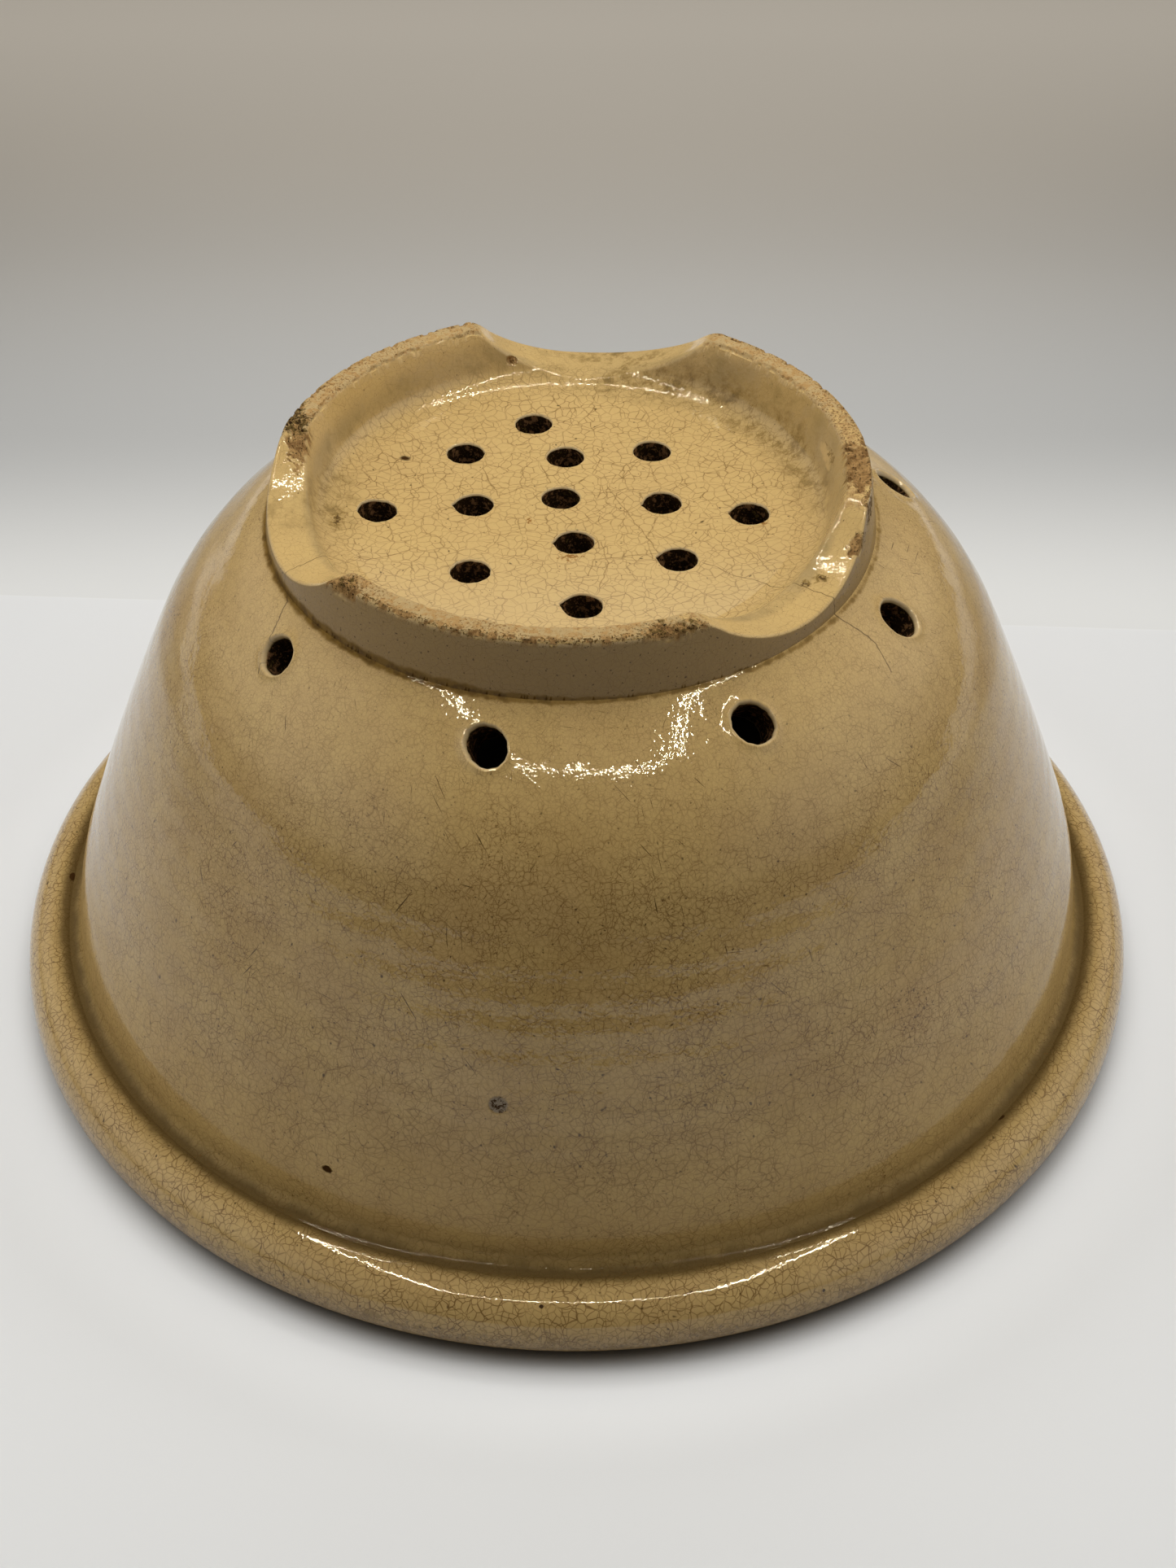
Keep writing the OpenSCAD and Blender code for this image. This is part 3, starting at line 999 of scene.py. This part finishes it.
# ---- Materials ----
class Graph:
    """Short calls for the nodes of a material or a world. Places, sizes and heights are in millimetres."""

    def __init__(self, owner, shader="Principled BSDF"):
        self.owner = owner
        owner.use_nodes = True
        self.tree = owner.node_tree
        self.shader = self.tree.nodes[shader]

    def node(self, kind, values, output=0, **settings):
        """Adds a node. values maps a socket's name or number to a number, a colour or a node's output."""
        made = self.tree.nodes.new("ShaderNode" + kind)
        for name, setting in settings.items():
            setattr(made, name, setting)
        for key, value in values.items():
            if isinstance(value, bpy.types.NodeSocket):
                self.tree.links.new(value, made.inputs[key])
            else:
                made.inputs[key].default_value = value
        return made.outputs[output]

    def math(self, operation, *values, clamp=False):
        return self.node("Math", dict(enumerate(values)), operation=operation, use_clamp=clamp)

    def times(self, *values):
        return reduce(lambda first, second: self.math("MULTIPLY", first, second), values)

    def most(self, *values):
        return reduce(lambda first, second: self.math("MAXIMUM", first, second), values)

    def vector(self, operation, *values):
        output = "Value" if operation in ("LENGTH", "DISTANCE", "DOT_PRODUCT") else 0
        return self.node("VectorMath", dict(enumerate(values)), output, operation=operation)

    def scaled(self, vector, factor):
        return self.node("VectorMath", {0: vector, "Scale": factor}, operation="SCALE")

    def parts(self, vector):
        return self.node("SeparateXYZ", {"Vector": vector}).node.outputs

    def mark(self, name):
        """A value that the mesh holds at each of its points."""
        return self.node("Attribute", {}, "Fac", attribute_name=name)

    def rise(self, value, low, high, to_low=0.0, to_high=1.0):
        """Smooth change from to_low at low to to_high at high. low may be above high."""
        values = {"Value": value, "From Min": low, "From Max": high, "To Min": to_low, "To Max": to_high}
        return self.node("MapRange", values, interpolation_type="SMOOTHSTEP")

    def blend(self, share, first, second):
        """Goes from a first colour to a second by a share."""
        return self.node("Mix", {0: share, 6: rgba(first), 7: rgba(second)}, 2, data_type="RGBA")

    def mix(self, share, first, second):
        """Goes from a first number to a second by a share."""
        return self.node("Mix", {0: share, 2: first, 3: second}, data_type="FLOAT")

    def noise(self, place, size, detail=2.0, roughness=0.5, output="Fac", space="3D"):
        values = {"Vector": place, "Scale": 1 / size, "Detail": detail, "Roughness": roughness}
        return self.node("TexNoise", values, output, noise_dimensions=space)

    def wander(self, place, *waves, space="3D"):
        """Shifts places by soft noises, so that edges drawn there turn irregular. Each wave has a size and a
        reach."""
        for size, reach in waves:
            noise_there = self.noise(place, size, 1, output="Color", space=space)
            shift = self.vector("SUBTRACT", noise_there, (0.5, 0.5, 0.5))
            place = self.vector("ADD", place, self.scaled(shift, 2 * reach))
        return place


class Glaze(Graph):
    """Yellow-ware: a clear lead glaze over buff clay, crazed, speckled, stained and worn.

    Its fine patterns are drawn on the skin: on x and y where the member is flat, and otherwise on the angle
    round the axis and the place along the profile."""

    def __init__(self, name, flat=False):
        super().__init__(bpy.data.materials.new(name))
        self.place = self.scaled(self.node("TexCoord", {}, "Object"), 1 / MM)
        self.x, self.y, self.z = self.parts(self.place)
        self.radius = self.vector("LENGTH", self.vector("MULTIPLY", self.place, (1, 1, 0)))
        self.ragged = self.wander(self.place, RAGGED)
        self.frayed = self.wander(self.place, FRAYED)
        self.skin = self.place
        if not flat:
            turn = self.math("ARCTAN2", self.x, self.times(self.y, -1.0))
            self.skin = self.node("CombineXYZ", {0: self.times(turn, SKIN_R), 1: self.mark("along")})
        self.wavy = self.wander(self.skin, *NET_WAVES, space="2D")
        self.cloud_a, self.cloud_b, self.cloud_c = self.parts(self.noise(self.place, *CLOUDS, "Color"))
        self.grain = self.parts(self.noise(self.skin, *GRAIN, "Color", "2D"))
        self.breaks = self.noise(self.skin, *BREAKS, space="2D")
        self.colour = None
        self.dull = 0.0
        self.height = 0.0

    def towards(self, direction, low=-1.0, high=1.0):
        """1 on the side that faces a direction round the axis, falling to 0 on the far side."""
        turn = math.radians(direction)
        along = self.vector("DOT_PRODUCT", self.place, (math.cos(turn), math.sin(turn), 0))
        return self.rise(self.math("DIVIDE", along, self.radius), low, high)

    def near(self, middle, reach, inner=0.75, outer=1.15):
        """1 around a place, with a ragged edge. reach is how far it goes along x, y and z."""
        place = self.ragged if max(reach) > SMALL_MARK else self.frayed
        offset = self.vector("DIVIDE", self.vector("SUBTRACT", place, middle), reach)
        return self.rise(self.vector("LENGTH", offset), outer, inner)

    def from_ring(self, radius, height):
        """Distance from the circle of a given radius and height."""
        section = self.node("CombineXYZ", {0: self.radius, 1: self.z})
        return self.vector("LENGTH", self.vector("SUBTRACT", section, (radius, height, 0)))

    def paint(self, mask, colour, dull=None, height=None):
        """Lays a colour where a mask, or several masks multiplied together, is 1."""
        mask = self.times(*mask) if isinstance(mask, tuple) else mask
        self.colour = self.blend(mask, self.colour, colour)
        if dull is not None:
            self.matt(mask, dull)
        if height is not None:
            self.lift(self.times(mask, height))

    def matt(self, mask, dull):
        self.dull = self.mix(mask, self.dull, dull)

    def lift(self, height):
        self.height = self.math("ADD", self.height, height)

    def body(self):
        """The buff clay under the glaze, cloudy and finely mottled."""
        self.colour = self.blend(self.rise(self.cloud_a, *PALE_CLOUDS), GLAZE_DEEP, GLAZE_PALE)
        self.paint(self.rise(self.cloud_c, *PINK_CLOUDS), GLAZE_PINK)
        self.paint(self.rise(self.breaks, *COARSE_MOTTLE), GLAZE_MOTTLE)
        self.paint(self.rise(self.grain[0], *FINE_MOTTLE), GLAZE_MOTTLE)

    def craze(self, size, width, strength, seed=0.0):
        """A net of hairline cracks in the glaze, brown with age. strength is how dark they are, 0 to 1."""
        place = self.vector("ADD", self.wavy, (seed, 2 * seed, 0))
        values = {"Vector": place, "Scale": 1 / size}
        kind = {"feature": "DISTANCE_TO_EDGE", "voronoi_dimensions": "2D"}
        line = self.rise(self.node("TexVoronoi", values, **kind), width / size, 0.2 * width / size)
        self.paint((line, strength), CRAZE_BROWN)

    def specks(self, size, spot, share, strength, colour, seed=0.0):
        """Iron specks: one in every cell of a given size, kept in a share of the cells."""
        place = self.vector("ADD", self.wavy, (seed, -seed, 0))
        cell = self.node("TexVoronoi", {"Vector": place, "Scale": 1 / size}, voronoi_dimensions="2D").node
        chance = self.parts(cell.outputs["Color"])[0]
        grown = self.rise(chance, 0, share, 1.5 * spot / size, 0.4 * spot / size)
        dot = self.rise(self.math("DIVIDE", cell.outputs["Distance"], grown), 1.1, 0.3)
        self.paint((dot, self.math("LESS_THAN", chance, share), strength), colour)

    def stain(self, mask, colour, size=None, dull=None, softness=0.06, strength=1.0):
        """Dirt that clings in grains. The mask is the share of the surface that it fills; size is the grains'
        size, and the skin's own fine grain where none is given."""
        mask = self.times(*mask) if isinstance(mask, tuple) else mask
        grains = self.noise(self.ragged, size, 3, 0.7) if size else self.grain[1]
        fill = self.math("MULTIPLY_ADD", mask, GRAIN_SPREAD, grains)
        full = self.rise(fill, GRAIN_FULL - softness, GRAIN_FULL + softness)
        self.paint((full, self.rise(mask, 0.0, 0.12, 0.0, strength)), colour, dull)

    def cracks(self, lines, width, strength, colour):
        """Cracks that run through the given points, wandering a little. Each comes with a direction that
        stands off the surface there, along which the crack reaches any depth."""
        wandering = self.wander(self.place, *CRACK_WAVES)
        masks = []
        for outwards, points in lines:
            outwards = Vector(outwards).normalized()
            place = self.vector("SUBTRACT", wandering, self.vector("PROJECT", wandering, tuple(outwards)))
            points = [Vector(point) - Vector(point).project(outwards) for point in points]
            for start, end in zip(points, points[1:]):
                span = end - start
                offset = self.vector("SUBTRACT", place, tuple(start))
                along = self.vector("DOT_PRODUCT", offset, tuple(span / span.length_squared))
                foot = self.scaled(tuple(span), self.math("ADD", along, 0.0, clamp=True))
                distance = self.vector("LENGTH", self.vector("SUBTRACT", offset, foot))
                masks.append(self.rise(distance, width, 0.3 * width))
        self.paint((self.most(*masks), strength), colour)

    def finish(self):
        for name in ("IOR", "Coat IOR"):
            self.shader.inputs[name].default_value = GLAZE_IOR
        self.shader.inputs["Specular IOR Level"].default_value = CLAY_SHINE
        self.shader.inputs["Coat Roughness"].default_value = GLAZE_GLOSS
        low, high = CLAY_ROUGH
        bump = self.node("Bump", {"Height": self.height, "Distance": MM, "Strength": 1.0})
        for name, value in (
            ("Base Color", self.colour),
            ("Roughness", self.math("MULTIPLY_ADD", self.dull, high - low, low)),
            ("Coat Weight", self.math("SUBTRACT", 1.0, self.dull)),
            ("Normal", bump),
            ("Coat Normal", bump),
        ):
            self.tree.links.new(value, self.shader.inputs[name])
        return self.owner


def start_glaze(name, nets, peel=1.0, pale=0.0, flat=False):
    """The clay body, its specks, the nets of cracks and the glaze's soft waves, which every member has.
    peel is how much of the fine orange peel it has, and pale how much paler than the wall it is."""
    glaze = Glaze(name, flat)
    glaze.body()
    glaze.paint(pale, FLOOR_PALE)
    uneven = glaze.times(glaze.rise(glaze.cloud_b, *NET_CLOUDS), glaze.rise(glaze.breaks, *NET_BREAKS))
    for number, (size, width, high, low) in enumerate(nets):
        strength = glaze.rise(glaze.z, *NET_HEIGHTS, high, low) if high != low else high
        glaze.craze(size, width, glaze.times(uneven, strength), 50 * number)
    glaze.specks(4.4, 0.22, 0.6 - 0.5 * pale, 0.85, SPECK_BROWN)
    glaze.specks(2.0, 0.15, 0.7 - 0.8 * pale, 0.8, SPECK_RED, seed=11.0)
    low, high = (share * peel * PEEL_H for share in PEEL_SHARES)
    bumpy = glaze.rise(glaze.breaks, *PEEL_BREAKS, low, high)
    glaze.lift(glaze.times(glaze.noise(glaze.place, PEEL_SIZE, 1), bumpy))
    glaze.lift(glaze.times(glaze.noise(glaze.place, RIPPLE_SIZE, 1), RIPPLE_H * peel))
    return glaze


def add_pools_and_shade(glaze, reach):
    """Glaze that ran into the groove over the rim and pooled there, dark and thick, with painted shade of the
    groove's crease laid into that darkness. It is dull to a reach.
    """
    distance = glaze.from_ring(GROOVE_R, SEAT_Z + POOL_RISE)
    wavy = glaze.math("MULTIPLY_ADD", glaze.breaks, POOL_WAVE, distance)
    # Olive and dark pooled glaze, darkened further as painted shade of the groove's crease
    glaze.paint(glaze.rise(wavy, *POOL_SHADE_EDGE), POOL_SHADE_HAZE_OLIVE)
    glaze.matt(glaze.rise(wavy, reach, 0.5 * reach), POOL_DULL)
    glaze.paint(glaze.rise(wavy, *POOL_SHADE_MIDDLE), POOL_AND_SHADE_DARK)


def add_foot_line(glaze):
    """Dirt and thick glaze along the foot of the ring, heaviest at the front left."""
    heavy = glaze.towards(*LINE_HEAVY)
    wavy = glaze.math("MULTIPLY_ADD", glaze.breaks, LINE_WAVE, glaze.from_ring(FOOT_R, BASE_Z))
    share = glaze.math("DIVIDE", wavy, glaze.math("MULTIPLY_ADD", heavy, 0.9, 1.0))
    edge = glaze.math("MULTIPLY_ADD", heavy, 0.25, 0.7)
    glaze.paint((glaze.rise(share, *LINE_EDGE), edge), JOINT_BROWN, POOL_DULL)
    patchy = glaze.rise(glaze.noise(glaze.place, 3.0, 3, 0.6), 0.42, 0.6)
    middle = glaze.math("MULTIPLY_ADD", heavy, 0.4, 0.45)
    glaze.paint((glaze.rise(share, *LINE_MIDDLE), patchy, middle), CRACK_BROWN)


def add_smudges(glaze):
    """Soft brown dirt in the corner between the floor and the ring, at the back right and at the left."""
    corner = glaze.times(glaze.rise(glaze.radius, *SMUDGE_RADII), glaze.rise(glaze.z, *SMUDGE_HEIGHTS))
    sides = glaze.most(glaze.towards(46, 0.5, 0.95), glaze.times(glaze.towards(178, 0.95, 1.0), 0.6))
    blots = glaze.noise(glaze.place, 4.5, 5, 0.7)
    glaze.paint((corner, sides, 0.35), DIRT_OLIVE, POOL_DULL)
    for rise, colour in SMUDGE_BLOTS:
        glaze.paint((corner, sides, glaze.rise(blots, *rise)), colour)


def bare_clay(glaze):
    """Clay laid bare by chips, and the dirt in the holes."""
    raw, grime = glaze.mark("raw"), glaze.mark("grime")
    crumbs = glaze.rise(glaze.noise(glaze.place, 2.2, 4, 0.7), 0.36, 0.62)
    glaze.paint(raw, glaze.blend(crumbs, CLAY_DARK, CLAY_BROWN))
    glaze.stain((raw, 0.16), GRIME_BLACK)
    crust = glaze.noise(glaze.place, 1.5, 3, 0.7)
    dirt = glaze.blend(glaze.rise(crust, 0.5, 0.62), GRIME_BLACK, GRIME_BROWN)
    glaze.paint(grime, glaze.blend(glaze.rise(crust, 0.42, 0.3), dirt, GRIME_OLIVE))
    bare = glaze.most(raw, grime)
    glaze.matt(bare, BARE)
    glaze.lift(glaze.times(bare, glaze.noise(glaze.place, 0.8, 3, 0.7), CRUMB_H))


def scratch_marks(glaze):
    """Clusters of short fine scratches that hold dirt."""
    for number, (lean, size, share) in enumerate(SCRATCH_RUNS):
        turn = (0, 0, math.radians(lean))
        values = {"Vector": glaze.skin, "Rotation": turn, "Scale": (1, SCRATCH_LENGTH, 1)}
        turned = glaze.node("Mapping", values, vector_type="TEXTURE")
        line = glaze.rise(glaze.noise(turned, size, 2, 0.5, space="2D"), share, share + 0.04)
        patch = glaze.rise((glaze.cloud_a, glaze.cloud_b, glaze.cloud_c)[number % 3], *SCRATCH_CLOUDS)
        glaze.paint((line, patch, glaze.rise(glaze.z, *SCRATCH_HEIGHTS)), CRACK_BROWN)


def rim_glaze():
    glaze = start_glaze("crazed_glaze_rim", RIM_NETS, RIM_PEEL, pale=0.3)
    glaze.paint((glaze.rise(glaze.z, *LOW_RIM), 0.8), GLAZE_THIN, LOW_RIM_DULL)
    for heights, share, colour, *grains in RIM_STAINS:
        glaze.stain((glaze.rise(glaze.z, *heights), share), colour, *grains)
    add_pools_and_shade(glaze, 4.5)
    glaze.stain(glaze.rise(glaze.z, 1.2, 0.2), CLAY_PALE, 3.0, BARE)
    for middle, reach in RIM_SPOTS:
        glaze.paint(glaze.near(middle, reach), SPECK_BROWN)
    return glaze.finish()


def wall_glaze():
    glaze = start_glaze("crazed_glaze_wall", WALL_NETS)
    for heights in WALL_PALE:
        glaze.paint(glaze.rise(glaze.z, *heights), FLOOR_PALE)
    glaze.matt(glaze.rise(glaze.z, *LOW_WALL), LOW_WALL_DULL)
    add_pools_and_shade(glaze, 12.0)
    add_foot_line(glaze)
    scratch_marks(glaze)
    glaze.stain((glaze.rise(glaze.cloud_b, 0.48, 0.62), 0.1), CRAZE_BROWN, softness=0.04, strength=0.8)
    for middle, reach, cover in WALL_SCUFFS:
        scuff = glaze.times(glaze.near(middle, reach, 0.2, 1.3), cover)
        glaze.paint(scuff, RUST)
        glaze.stain(scuff, CRACK_BROWN)
    for middle, reach, colour in WALL_SPOTS:
        spot = glaze.near(middle, reach)
        glaze.paint(spot, colour, BARE, -SPOT_DEPTH)
        glaze.stain((spot, 0.4), SPECK_BROWN)
    glaze.cracks(WALL_CRACKS, 0.22, 0.8, CRACK_BROWN)
    glaze.paint((glaze.mark("worn"), 0.6), LIP_PALE)
    bare_clay(glaze)
    return glaze.finish()


def floor_glaze():
    glaze = start_glaze("crazed_glaze_floor", FLOOR_NETS, pale=0.6, flat=True)
    glaze.paint(glaze.rise(glaze.y, *FLOOR_FRONT), LIP_PALE)
    add_smudges(glaze)
    glaze.cracks(FLOOR_CRACKS, 0.18, 0.55, CRAZE_BROWN)
    glaze.cracks([RIGHT_CRACK], 0.17, 0.6, CRACK_BROWN)
    glaze.paint((glaze.mark("worn"), 0.6), LIP_PALE)
    glaze.paint(glaze.near(*FLOOR_SLIT), SPECK_BROWN, BARE, -SLIT_DEPTH)
    for middle, reach in FLOOR_SPOTS:
        glaze.stain((glaze.near(middle, reach, 0.3, 1.2), 0.6), RUST)
    bare_clay(glaze)
    return glaze.finish()


def inner_ring(glaze):
    """The foot ring's inner face: the floor's nets of cracks low down, and a cloudy olive haze above."""
    inside = glaze.rise(glaze.radius, *INSIDE)
    low = glaze.rise(glaze.z, *LOW_INSIDE)
    on_ring = glaze.wavy
    glaze.wavy = glaze.wander(glaze.place, *NET_WAVES, space="2D")
    for number, (size, width, strength, _) in enumerate(FLOOR_NETS):
        glaze.craze(size, width, glaze.times(glaze.times(inside, low), strength * 0.7), 50 * number)
    glaze.wavy = on_ring
    above = glaze.rise(glaze.z, *HIGH_INSIDE)
    hazy = glaze.math("MULTIPLY_ADD", glaze.rise(glaze.cloud_c, 0.4, 0.6), 0.35, 0.4)
    glaze.paint((inside, above, hazy), DIRT_OLIVE)
    cloudy = glaze.noise(glaze.ragged, 7.0, 4, 0.65)
    for rise, colour in INSIDE_CLOUDS:
        glaze.paint((inside, above, glaze.rise(cloudy, *rise)), colour)
    add_smudges(glaze)


def outer_ring(glaze):
    """The foot ring's outer face: brown with dirt and painted shade on its upright parts, dull, and speckled
    with iron, but not on the arches' sills.
    """
    # The outer face's upright parts get brown dirt and painted shade; sills that face up stay light
    upright = glaze.rise(glaze.parts(glaze.node("TexCoord", {}, "Normal"))[2], *UPRIGHT)
    outside = glaze.times(glaze.rise(glaze.radius, *OUTSIDE), glaze.rise(glaze.z, *BELOW_CREST), upright)
    glaze.paint((outside, 0.62), FOOT_BROWN_AND_SHADE)
    glaze.specks(2.8, 0.24, 0.6, glaze.times(outside, 0.85), SPECK_BROWN, seed=23.0)
    glaze.paint((outside, glaze.rise(glaze.grain[0], 0.45, 0.6, 0, 0.22)), DIRT_GREY)
    glaze.matt(outside, FOOT_DULL)
    add_foot_line(glaze)


def foot_glaze():
    glaze = start_glaze("crazed_glaze_foot", FOOT_NETS, FOOT_PEEL, pale=0.6)
    inner_ring(glaze)
    outer_ring(glaze)
    worn, edge = glaze.mark("worn"), glaze.mark("edge")
    back = glaze.math("MULTIPLY_ADD", glaze.towards(-25, 0.9, 0.55), 0.75, 0.2)
    glaze.stain((worn, back), CLAY_PALE, 2.4, BARE)
    glaze.stain((worn, 0.45), CLAY_BROWN, 1.3, softness=0.1)
    glaze.stain((worn, glaze.rise(glaze.cloud_c, 0.4, 0.6, 0.1, 0.35)), CLAY_DARK)
    glaze.stain((edge, glaze.rise(glaze.cloud_b, 0.35, 0.6, 0.2, 0.45)), CRACK_BROWN, dull=BARE)
    for middle, reach in FOOT_RUSTS:
        glaze.stain((glaze.near(middle, reach, 0.2, 1.5), 0.6), DIRT_BROWN, 1.1, softness=0.14)
        glaze.stain((glaze.near(middle, reach, 0.2, 0.8), 0.6), CRACK_BROWN, 0.8)
    glaze.cracks([LEFT_CRACK, RIGHT_CRACK], 0.18, 0.7, CRACK_BROWN)
    glaze.paint((glaze.near(*FLAKE), 0.5), FLOOR_PALE)
    glaze.stain((glaze.near(*FLAKE_EDGE), 0.5), DIRT_BROWN, 1.2)
    bare_clay(glaze)
    for middle, reach, cover in FOOT_BLACKS:
        patch = glaze.times(glaze.near(middle, reach, 0.5, 1.2), glaze.most(worn, edge))
        glaze.stain((patch, cover), GRIME_OLIVE, 1.4, BARE, 0.1)
        glaze.stain((patch, 0.7 * cover), GRIME_BLACK, 0.8, BARE)
    for middle, reach, cover in FOOT_BREAKS:
        glaze.stain((glaze.near(middle, reach, 0.5, 1.2), cover), CRACK_BROWN, 0.8, BARE)
    return glaze.finish()


# ---- Stage, light and camera ----
def make_stage():
    """The table and the sweep behind it: paper with a painted contact shadow under the bowl and painted shade
    on the sweep, which cameras and reflections see a little brighter than it is lit, brighter still close to
    the rim as painted light, but not inside the bowl or where it meets the table."""
    bpy.ops.mesh.primitive_plane_add(size=STAGE_SIZE, location=(0, 0, 0))
    table = bpy.context.object
    table.name = "table"
    paper = Graph(bpy.data.materials.new("table_paper"))
    place = paper.node("TexCoord", {}, "Object")
    across, depth, _ = paper.parts(place)
    leaning = paper.math("MULTIPLY_ADD", across, SWEEP_LEAN, depth)
    on_sweep = paper.rise(leaning, SWEEP_START, SWEEP_START + SWEEP_STEP)
    # Painted shade on the sweep: darker than the table, and warmer towards the back
    sweep = paper.blend(paper.rise(depth, *SWEEP_SHADE_FADE), SWEEP_SHADE_NEAR, SWEEP_SHADE_FAR)
    colour = paper.blend(on_sweep, PAPER, sweep)
    from_axis = paper.vector("LENGTH", place)
    far = paper.rise(paper.vector("DISTANCE", place, FAR_CENTRE), *FAR_FADE)
    colour = paper.blend(far, colour, PAPER)
    # A painted contact shadow on the paper under the bowl
    colour = paper.blend(paper.rise(from_axis, *SHADOW_FADE), colour, PAPER_SHADOW)
    beside = paper.rise(paper.math("ABSOLUTE", across), *GLOW_ASIDE)
    # Close to the rim the glow is doubled: painted light over the bowl's shadow
    on_table = paper.times(paper.rise(depth, *GLOW_FRONT), beside, paper.rise(from_axis, *GLOW_RIM_PAINTED_LIGHT))
    behind = paper.math("ADD", paper.rise(depth, *GLOW_LINE), paper.rise(depth, *GLOW_TOP))
    glow = paper.mix(on_sweep, on_table, behind)
    glow = paper.mix(far, glow, GLOW_FAR)
    # No glow where the rim meets the table, so the painted contact shadow stays dark
    clear = paper.rise(from_axis, *CONTACT_SHADOW)
    way = paper.node("LightPath", {}).node.outputs
    seen = paper.most(way["Is Camera Ray"], way["Is Glossy Ray"], way["Is Transmission Ray"])
    paper.shader.inputs["Roughness"].default_value = PAPER_ROUGH
    paper.tree.links.new(colour, paper.shader.inputs["Base Color"])
    paper.tree.links.new(colour, paper.shader.inputs["Emission Color"])
    paper.tree.links.new(paper.times(glow, clear, seen), paper.shader.inputs["Emission Strength"])
    table.data.materials.append(paper.owner)


def make_lamp(name, place, aim, size, power):
    light = bpy.data.lights.new(name, "AREA")
    light.shape = "RECTANGLE"
    light.size, light.size_y = size
    light.energy = power
    lamp = bpy.data.objects.new(name, light)
    lamp.location = place
    lamp.rotation_euler = (Vector(aim) - Vector(place)).to_track_quat("-Z", "Y").to_euler()
    lamp.visible_camera = False
    bpy.context.scene.collection.objects.link(lamp)
    return lamp


def frame_points():
    """The corners of the frame of strips, each rounded into straight pieces, as one closed line."""
    x = FRAME_HALF - FRAME_CORNER
    back, front = FRAME_BACK - FRAME_CORNER, FRAME_FRONT + FRAME_CORNER
    corners = [((x, back), 0), ((-x, back), 90), ((-x, front), 180), ((x, front), 270)]
    rounded = [arc(corner, FRAME_CORNER, start, start + 90, CORNER_PIECES) for corner, start in corners]
    return [Vector((*point, FRAME_Z)) for point in np.vstack(rounded)]


def make_lights():
    for name, (place, aim, size, power) in LAMPS.items():
        make_lamp(name, place, aim, size, power).visible_glossy = False
    points = frame_points()
    for number, (start, end) in enumerate(zip(points, points[1:] + points[:1])):
        span = end - start
        size = (span.length, STRIP_WIDTH)
        middle = (start + end) / 2
        strip = make_lamp(f"strip_{number}", middle, start, size, STRIP_MIRRORED * span.length)
        strip.rotation_euler = (0, 0, math.atan2(span.y, span.x))
        strip.visible_diffuse = False
        strip.data.color = STRIP_COLOUR
    room = (2 * FRAME_HALF, FRAME_BACK - FRAME_FRONT)
    middle = (0, (FRAME_FRONT + FRAME_BACK) / 2, FRAME_Z)
    glow = make_lamp("frame_glow", middle, (0, middle[1], 0), room, STRIP_LIGHT * 2 * sum(room))
    glow.visible_glossy = False


def make_camera():
    camera = bpy.data.objects.new("camera", bpy.data.cameras.new("camera"))
    camera.data.lens = CAMERA_LENS
    camera.data.sensor_width = CAMERA_SENSOR
    camera.location = CAMERA_PLACE
    camera.rotation_euler = (math.radians(90 - CAMERA_DIP), 0, math.radians(CAMERA_SWING))
    bpy.context.scene.collection.objects.link(camera)
    bpy.context.scene.camera = camera


def make_world():
    room = Graph(bpy.data.worlds.new("room"), "Background")
    room.shader.inputs["Color"].default_value = rgba(ROOM_COLOUR)
    across, _, up = room.parts(room.node("TexCoord", {}, "Generated"))
    beside = room.rise(room.math("ABSOLUTE", across), *SIDE_START)
    sides = room.times(beside, room.rise(up, *SIDE_UP), ROOM_SIDES)
    way = room.node("LightPath", {}).node.outputs
    mirrored = room.times(way["Is Glossy Ray"], sides)
    seen = room.times(way["Is Camera Ray"], ROOM_SEEN)
    strength = room.math("ADD", room.math("ADD", mirrored, seen), ROOM_STRENGTH)
    room.tree.links.new(strength, room.shader.inputs["Strength"])
    bpy.context.scene.world = room.owner


make_camera()
make_world()
make_stage()
make_lights()
bpy.context.scene.view_settings.view_transform = "Standard"

for make, finish, node in (
    (make_rim_roll, rim_glaze, "rim_roll"),
    (make_bowl_wall, wall_glaze, "bowl_wall"),
    (make_bowl_floor, floor_glaze, "bowl_floor"),
    (make_foot_ring, foot_glaze, "foot_ring"),
):
    piece = make()
    piece.data.materials.append(finish())
    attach(piece, "root")
    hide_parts(node)
